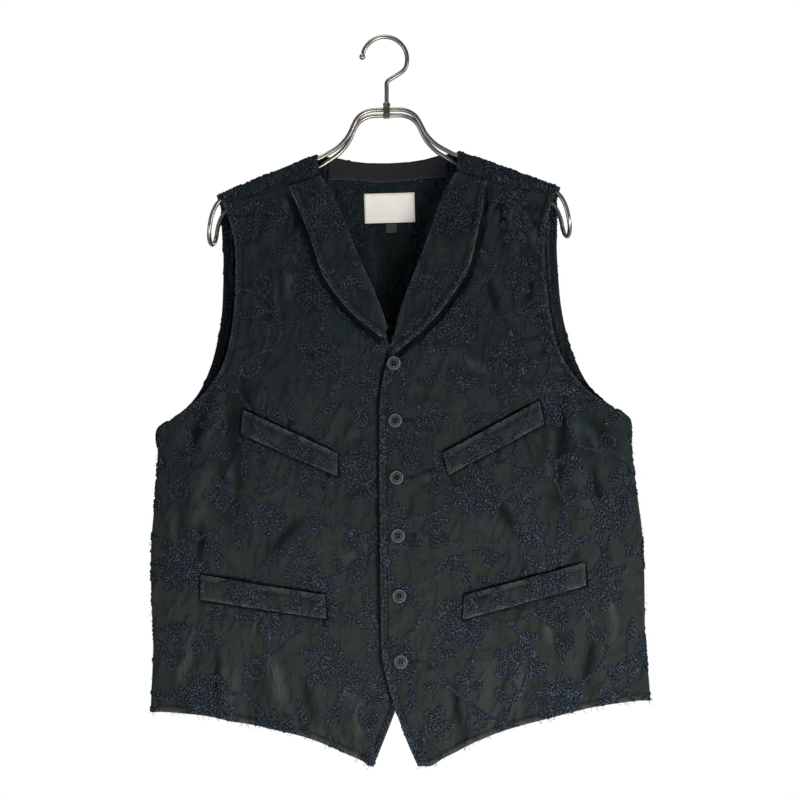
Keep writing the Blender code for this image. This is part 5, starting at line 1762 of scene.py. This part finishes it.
def studio():
    """Camera, white background, soft lights and a pale floor well below the garment."""
    scene = bpy.context.scene
    data = bpy.data.cameras.new("camera")
    data.sensor_width = SENSOR
    data.lens = SENSOR * -CAMERA_Y / VIEW_WIDTH
    camera = bpy.data.objects.new("camera", data)
    camera.location = Vector((CAMERA_X, CAMERA_Y, CAMERA_Z)) * MM
    camera.rotation_euler = (radians(90.0), 0.0, 0.0)
    scene.collection.objects.link(camera)
    scene.camera = camera
    start_fresh()
    bpy.ops.mesh.primitive_plane_add(size=FLOOR_SIZE, location=(0.0, 0.0, FLOOR_Z))
    floor = bpy.context.object
    floor.name = "floor"
    floor.data.materials.append(matt_paint("matt_floor_paint", "E6E5E2"))
    world = bpy.data.worlds.new("studio")
    scene.world = world
    world.use_nodes = True
    tree = world.node_tree
    background = tree.nodes["Background"]
    background.inputs["Color"].default_value = (1.0, 1.0, 1.0, 1.0)
    seen = node(tree, "LightPath").outputs["Is Camera Ray"]
    strength = node(tree, "MapRange", {"Value": seen, "To Min": AMBIENT, "To Max": 1.0})
    tree.links.new(read_from(strength), background.inputs["Strength"])
    scene.view_settings.view_transform = "Standard"
    middle = (0.0, 0.0, -0.45)
    low = (0.0, 0.0, -0.6)
    softbox("key", (0.5, -1.45, -1.25), low, 0.8, KEY_WATTS, "FFFAF2")
    softbox("grazing", (2.1, -1.1, -0.5), middle, 0.6, GRAZING_WATTS, "FFFFFF")
    softbox("fill", (-1.9, -1.3, -0.7), middle, 1.2, FILL_WATTS, "EEF3FF")
    softbox("behind", (0.4, 2.2, 0.5), middle, 1.6, BEHIND_WATTS, "FFFFFF")
    softbox("above", (-0.2, -0.45, 1.3), middle, 0.9, ABOVE_WATTS, "FFFFFF")


def topstitch(name, lines, wall, thread):
    """A piece's topstitching along the lines given."""
    return yarn_object(name, sewn(lines, wall), STITCH_R, STITCH_H, thread)


def buttonholes(front, material):
    """The worked holes beside the buttons: bars of thread along both lips and at the ends."""
    runs = []
    tree = front.tree()
    wall = 0.5 * CLOTH_T
    for level in BUTTON_Z:
        for x in np.arange(BUTTON_X + HOLE_FROM, BUTTON_X + HOLE_TO, BAR_PITCH):
            for lip in (-1.0, 1.0):
                run = []
                for step in range(4):
                    z = level + lip * (0.3 + BAR_L * step / 3.0)
                    y = depth_on(tree, x, z, -200.0, wall)
                    run.append((x, y, z))
                dip = np.array((0.05, -0.05, -0.05, 0.4))
                points = np.array(run)
                points[:, 1] += dip
                runs.append((points, forwards(4)))
        for k in range(3):
            x = BUTTON_X + HOLE_TO + 0.5 * k
            points = np.array([(x, depth_on(tree, x, level + dz, -200.0, wall) - 0.1,
                level + dz) for dz in np.linspace(-BAR_L - 0.4, BAR_L + 0.4, 5)])
            runs.append((points, forwards(5)))
    yarn_object("buttonhole_stitches", runs, BAR_R, STITCH_H, material)


def loose_threads(name, edges, material, seed):
    """Short frayed ends that stand out of an edge, curling at random."""
    rng = random.Random(seed)
    runs = []
    for _ in range(LOOSE_THREADS):
        line, outward = edges[rng.randrange(len(edges))]
        point, normal = line[rng.randrange(len(line))]
        way = Vector(outward) + Vector((rng.uniform(-0.9, 0.9), rng.uniform(-0.5, 0.5),
            rng.uniform(-0.6, 0.6)))
        way.normalize()
        turn = Vector((rng.uniform(-1, 1), rng.uniform(-1, 1), rng.uniform(-1, 1)))
        length = rng.uniform(0.25, 1.0) ** 1.5 * LOOSE_LENGTH
        at = Vector(point) - Vector(outward) * 0.8
        points = []
        for _ in range(6):
            points.append(tuple(at))
            at = at + way * length / 5.0
            way = (way + turn * 0.28).normalized()
        normals = np.tile(tuple(Vector(normal)), (6, 1))
        runs.append((np.array(points), normals))
    return yarn_object(name, runs, LOOSE_R, LOOSE_H, material)


def front_pieces(hand, front, lapel, welts, top_layer, lines, cotton, yarn, thread):
    """One front and its lapel, with their embroidery, stitches and frayed ends."""
    side = SIDES[hand]
    pressed = edges_on_front(hand)
    rows = front.points.shape[0]
    panel = cloth_object(f"front_{hand}", front, CLOTH_T, cotton, edges=("first", "last", "low"))
    covers = [cloth.tree() for cloth in (lapel, *welts)] + top_layer
    strips = [(front.beside_column(inset, last_row=EDGE_YARN_END * rows),
        FRONT_EDGE_GAP) for inset in FRONT_EDGE_IN]
    strips.append((front.beside_column(SIDE_EDGE_IN, last=True, first_row=EDGE_SEAM_END * rows),
        SIDE_EDGE_GAP))
    border_yarn = [run for k, (line, gap) in enumerate(strips) for run in edging(line, CLOTH_T,
        rows + 3 * k, gap)]
    flowers = embroider(f"front_{hand}_embroidery", front, lines, EMBROIDERY_FROM[hand], CLOTH_T, yarn,
        covers=covers, extra=border_yarn, keep=lambda p: out_of_grooves(p, side, pressed))
    seams = [front.beside_column(STITCH_IN, last_row=EDGE_SEAM_END * rows),
        front.beside_row(HEM_STITCH_IN), front.beside_column(STITCH_IN, last=True,
        first_row=EDGE_SEAM_END * rows)]
    stitches = topstitch(f"front_{hand}_topstitch", seams, CLOTH_T, thread)
    edges = [(front.beside_row(0.0), (0.0, 0.0, -1.0)), (front.beside_column(0.6, last=True),
        (side, -0.3, 0.2))]
    frays = loose_threads(f"front_{hand}_frayed_ends", edges, yarn, 5 + rows)

    piece = cloth_object(f"lapel_{hand}", lapel, CLOTH_T, cotton, edges=("first", "last"))
    free_edge = edging(lapel.beside_column(LAPEL_EDGE_IN, last=True), CLOTH_T, rows, LAPEL_EDGE_GAP)
    flowers = embroider(f"lapel_{hand}_embroidery", lapel, lines, EMBROIDERY_FROM["lapel"], CLOTH_T, yarn,
        extra=free_edge)
    stitches = topstitch(f"lapel_{hand}_topstitch", [lapel.beside_column(STITCH_IN, last=True)], CLOTH_T,
        thread)


def welt_pieces(name, cloth, lines, cotton, yarn, thread):
    """One pocket welt, stitched twice at both ends and once along its mouth."""
    piece = cloth_object(name, cloth, WELT_T, cotton, edges=("first", "last", "low", "top"))
    flowers = embroider(f"{name}_embroidery", cloth, lines, EMBROIDERY_FROM["welt"], WELT_T, yarn)
    ends = [cloth.beside_column(inset, last=last) for inset in (6.0, 1.4) for last in (False, True)]
    ends.append(cloth.beside_row(STITCH_IN, top=True))
    stitches = topstitch(f"{name}_topstitch", ends, WELT_T, thread)
    f"front_{hand_of(name)}"


def back_pieces(back, tree, linings, lines, cotton, yarn, thread):
    """The back, embroidered outside and inside, with its seams and the arc below the neck."""
    panel = cloth_object("back", back, CLOTH_T, cotton, edges=("first", "last", "low"))
    # Fewer points to a yarn on the outside of the back, which is the largest piece
    coarse = [line[::2] for line in lines]
    for hand, side in SIDES.items():
        embroider(f"back_{hand}_embroidery", back, coarse, EMBROIDERY_FROM["back"], CLOTH_T,
            yarn, keep=lambda p: side * (p[:, 0] - CLIP_X) >= 0.0)
    embroider("back_inside_embroidery", back, lines, EMBROIDERY_FROM["back"], CLOTH_T, yarn,
        out=-1.0, covers=[cloth.tree() for cloth in linings], keep=lambda p: (p[:, 2] > INSIDE_LOW) & (p[:,
        1] > INSIDE_DEPTH))
    seams = [back.beside_row(HEM_STITCH_IN)]
    seams += [back.beside_column(STITCH_IN, last=last, first_row=ARMHOLE_FROM * back.full,
        last_row=back.full) for last in (False, True)]
    strap_column = back.neck_index + 1.0
    seams.append(back.beside_row(STRAP_STITCH_IN, top=True, last=back.middle - strap_column))
    seams.append(back.beside_row(STRAP_STITCH_IN, top=True, first=back.middle + strap_column))
    topstitch("back_topstitch", seams, CLOTH_T, thread)
    arc = []
    for x in np.linspace(YOKE_ARC[0][0], YOKE_ARC[-1][0], YOKE_POINTS):
        z = smooth_between(YOKE_ARC, x)
        y = depth_on(tree, CLIP_X + x, z, 0.0, 0.0)
        arc.append((np.array((CLIP_X + x, y, z)), np.array((0.0, -1.0, 0.0))))
    topstitch("back_yoke_stitches", [arc], CLOTH_T, thread)
    hem = [(back.beside_row(0.0), (0.0, 0.0, -1.0))]
    loose_threads("back_frayed_ends", hem, yarn, 77)


def armhole_facing_pieces(hand, back, cotton, yarn, thread):
    """The facing strip of one armhole, with its looped yarn and its stitches."""
    side = SIDES[hand]
    node_name = f"armhole_facing_{hand}"
    strip = armhole_facing_cloth(side, back)
    piece = cloth_object(node_name, strip, FACING_T, cotton, ("last",))
    loops = [run for inset in FACING_EDGE_IN for run in edging(strip.beside_column(inset), FACING_T,
        inset + side, FACING_EDGE_GAP)]
    flowers = yarn_object(f"{node_name}_embroidery", loops, YARN_R, YARN_H, yarn, LOOP_DIP)
    stitches = topstitch(f"{node_name}_topstitch", [strip.beside_column(FACING_STITCH_IN, last=True)],
        FACING_T, thread)


def hand_of(node_name):
    """The wearer's hand on whose side a piece lies: the last word of its name."""
    return node_name.rsplit("_", 1)[1]


def garment():
    """Every sewn piece, with its embroidery and its stitches."""
    # Cloth shades: a darker and a paler dye, mixed by random patches and by the painted shade of the upper
    # half, then a stain colour and the colour of rubbed edges
    cotton = washed_twill("washed_cotton_twill", ("1D2629", "2E3433", "363029", "6A6D6F"), 1.1, 0.35, 0.02,
        4.0)
    lining = washed_twill("lining_twill", ("2C2C31", "29282C", "252328", "4A4A50"), 0.8, 0.18, 0.05, 0.8)
    # Yarn and thread shades: two hank colours, a painted highlight colour for the plies and a painted
    # shade colour for the flanks
    yarn = cotton_yarn("navy_crewel_yarn", ("26313C", "2F3B47", "707C88", "03070D"), 1.3, 0.8, 0.04)
    thread = cotton_yarn("black_sewing_thread", ("0A0B0D", "0F1013", "24272B", "040506"), 0.6, 0.55, 0.05)
    pale_thread = cotton_yarn("white_sewing_thread", ("B9B7B0", "C6C4BE", "E8E6E0", "8E8C86"), 0.6, 0.6,
        0.1)
    label_cloth = woven_label("damask_woven_label", "E8E7E2", "F8F8F5", 0.9)
    tab_cloth = woven_label("woven_size_tab", "1C1E21", "2E3135", 0.7)
    lines = draw_repeat()

    left = front_cloth(1.0, 1.0, FRONT_LEFT_FOLDS, LEFT_CREASES, edges_on_front("left"), 1.0)
    right = front_cloth(-1.0, -1.0, FRONT_RIGHT_FOLDS, RIGHT_CREASES, edges_on_front("right"), 21.0)
    back = back_cloth(41.0)
    trees = {"left": left.tree(), "right": right.tree(), "back": back.tree()}
    lapels = {"left": lapel_cloth(1.0, LAPEL_LEFT_ROWS, trees["left"], 61.0),
        "right": lapel_cloth(-1.0, LAPEL_RIGHT_ROWS, trees["right"], 71.0)}
    welts = {name: welt_cloth(SIDES[hand_of(name)], welt, trees[hand_of(name)], 81.0) for name,
        welt in WELTS.items()}
    # The left front lies on top of the right one, and hides its yarn
    for hand, front, top_layer in (("left", left, []), ("right", right, [trees["left"]])):
        own_welts = [cloth for name, cloth in welts.items() if hand_of(name) == hand]
        front_pieces(hand, front, lapels[hand], own_welts, top_layer, lines, cotton, yarn, thread)
    for name, cloth in welts.items():
        welt_pieces(name, cloth, lines, cotton, yarn, thread)

    facing = neck_facing_cloth(trees["back"], 91.0)
    label = patch_cloth(LABEL_CENTRE, LABEL_SIZE, LABEL_TURN, trees["back"], 0.25, 92.0)
    tab = patch_cloth(TAB_CENTRE, TAB_SIZE, LABEL_TURN, trees["back"], 0.1, 93.0)
    back_pieces(back, trees["back"], (facing, label, tab), lines, cotton, yarn, thread)
    piece = cloth_object("neck_facing", facing, FACING_T, lining, ("low",))
    stitches = topstitch("neck_facing_topstitch", [facing.beside_row(2.4), facing.beside_row(6.0)],
        FACING_T, thread)
    for hand in SIDES:
        armhole_facing_pieces(hand, back, cotton, yarn, thread)
    piece = cloth_object("label", label, LABEL_T, label_cloth, name="bare_label")
    rim = [label.beside_row(LABEL_RIM), label.beside_row(LABEL_RIM, top=True),
        label.beside_column(LABEL_RIM), label.beside_column(LABEL_RIM, last=True)]
    stitches = yarn_object("bare_label_stitches", sewn(rim, LABEL_T, LABEL_STITCH_PITCH, LABEL_STITCH_L),
        LABEL_STITCH_R, LABEL_STITCH_H, pale_thread)
    piece = cloth_object("size_tab", tab, LABEL_T, tab_cloth, name="bare_size_tab")
    buttonholes(left, thread)
    buttons(cast_polyester(), thread)


def main():
    garment()
    hanger(plated_steel("black_nickel_plated_wire", "A19D97", "7B7772", 0.28, 0.4),
        plated_steel("pressed_steel_clip", "7C7770", "56524D", 0.3, 0.45))
    studio()


main()
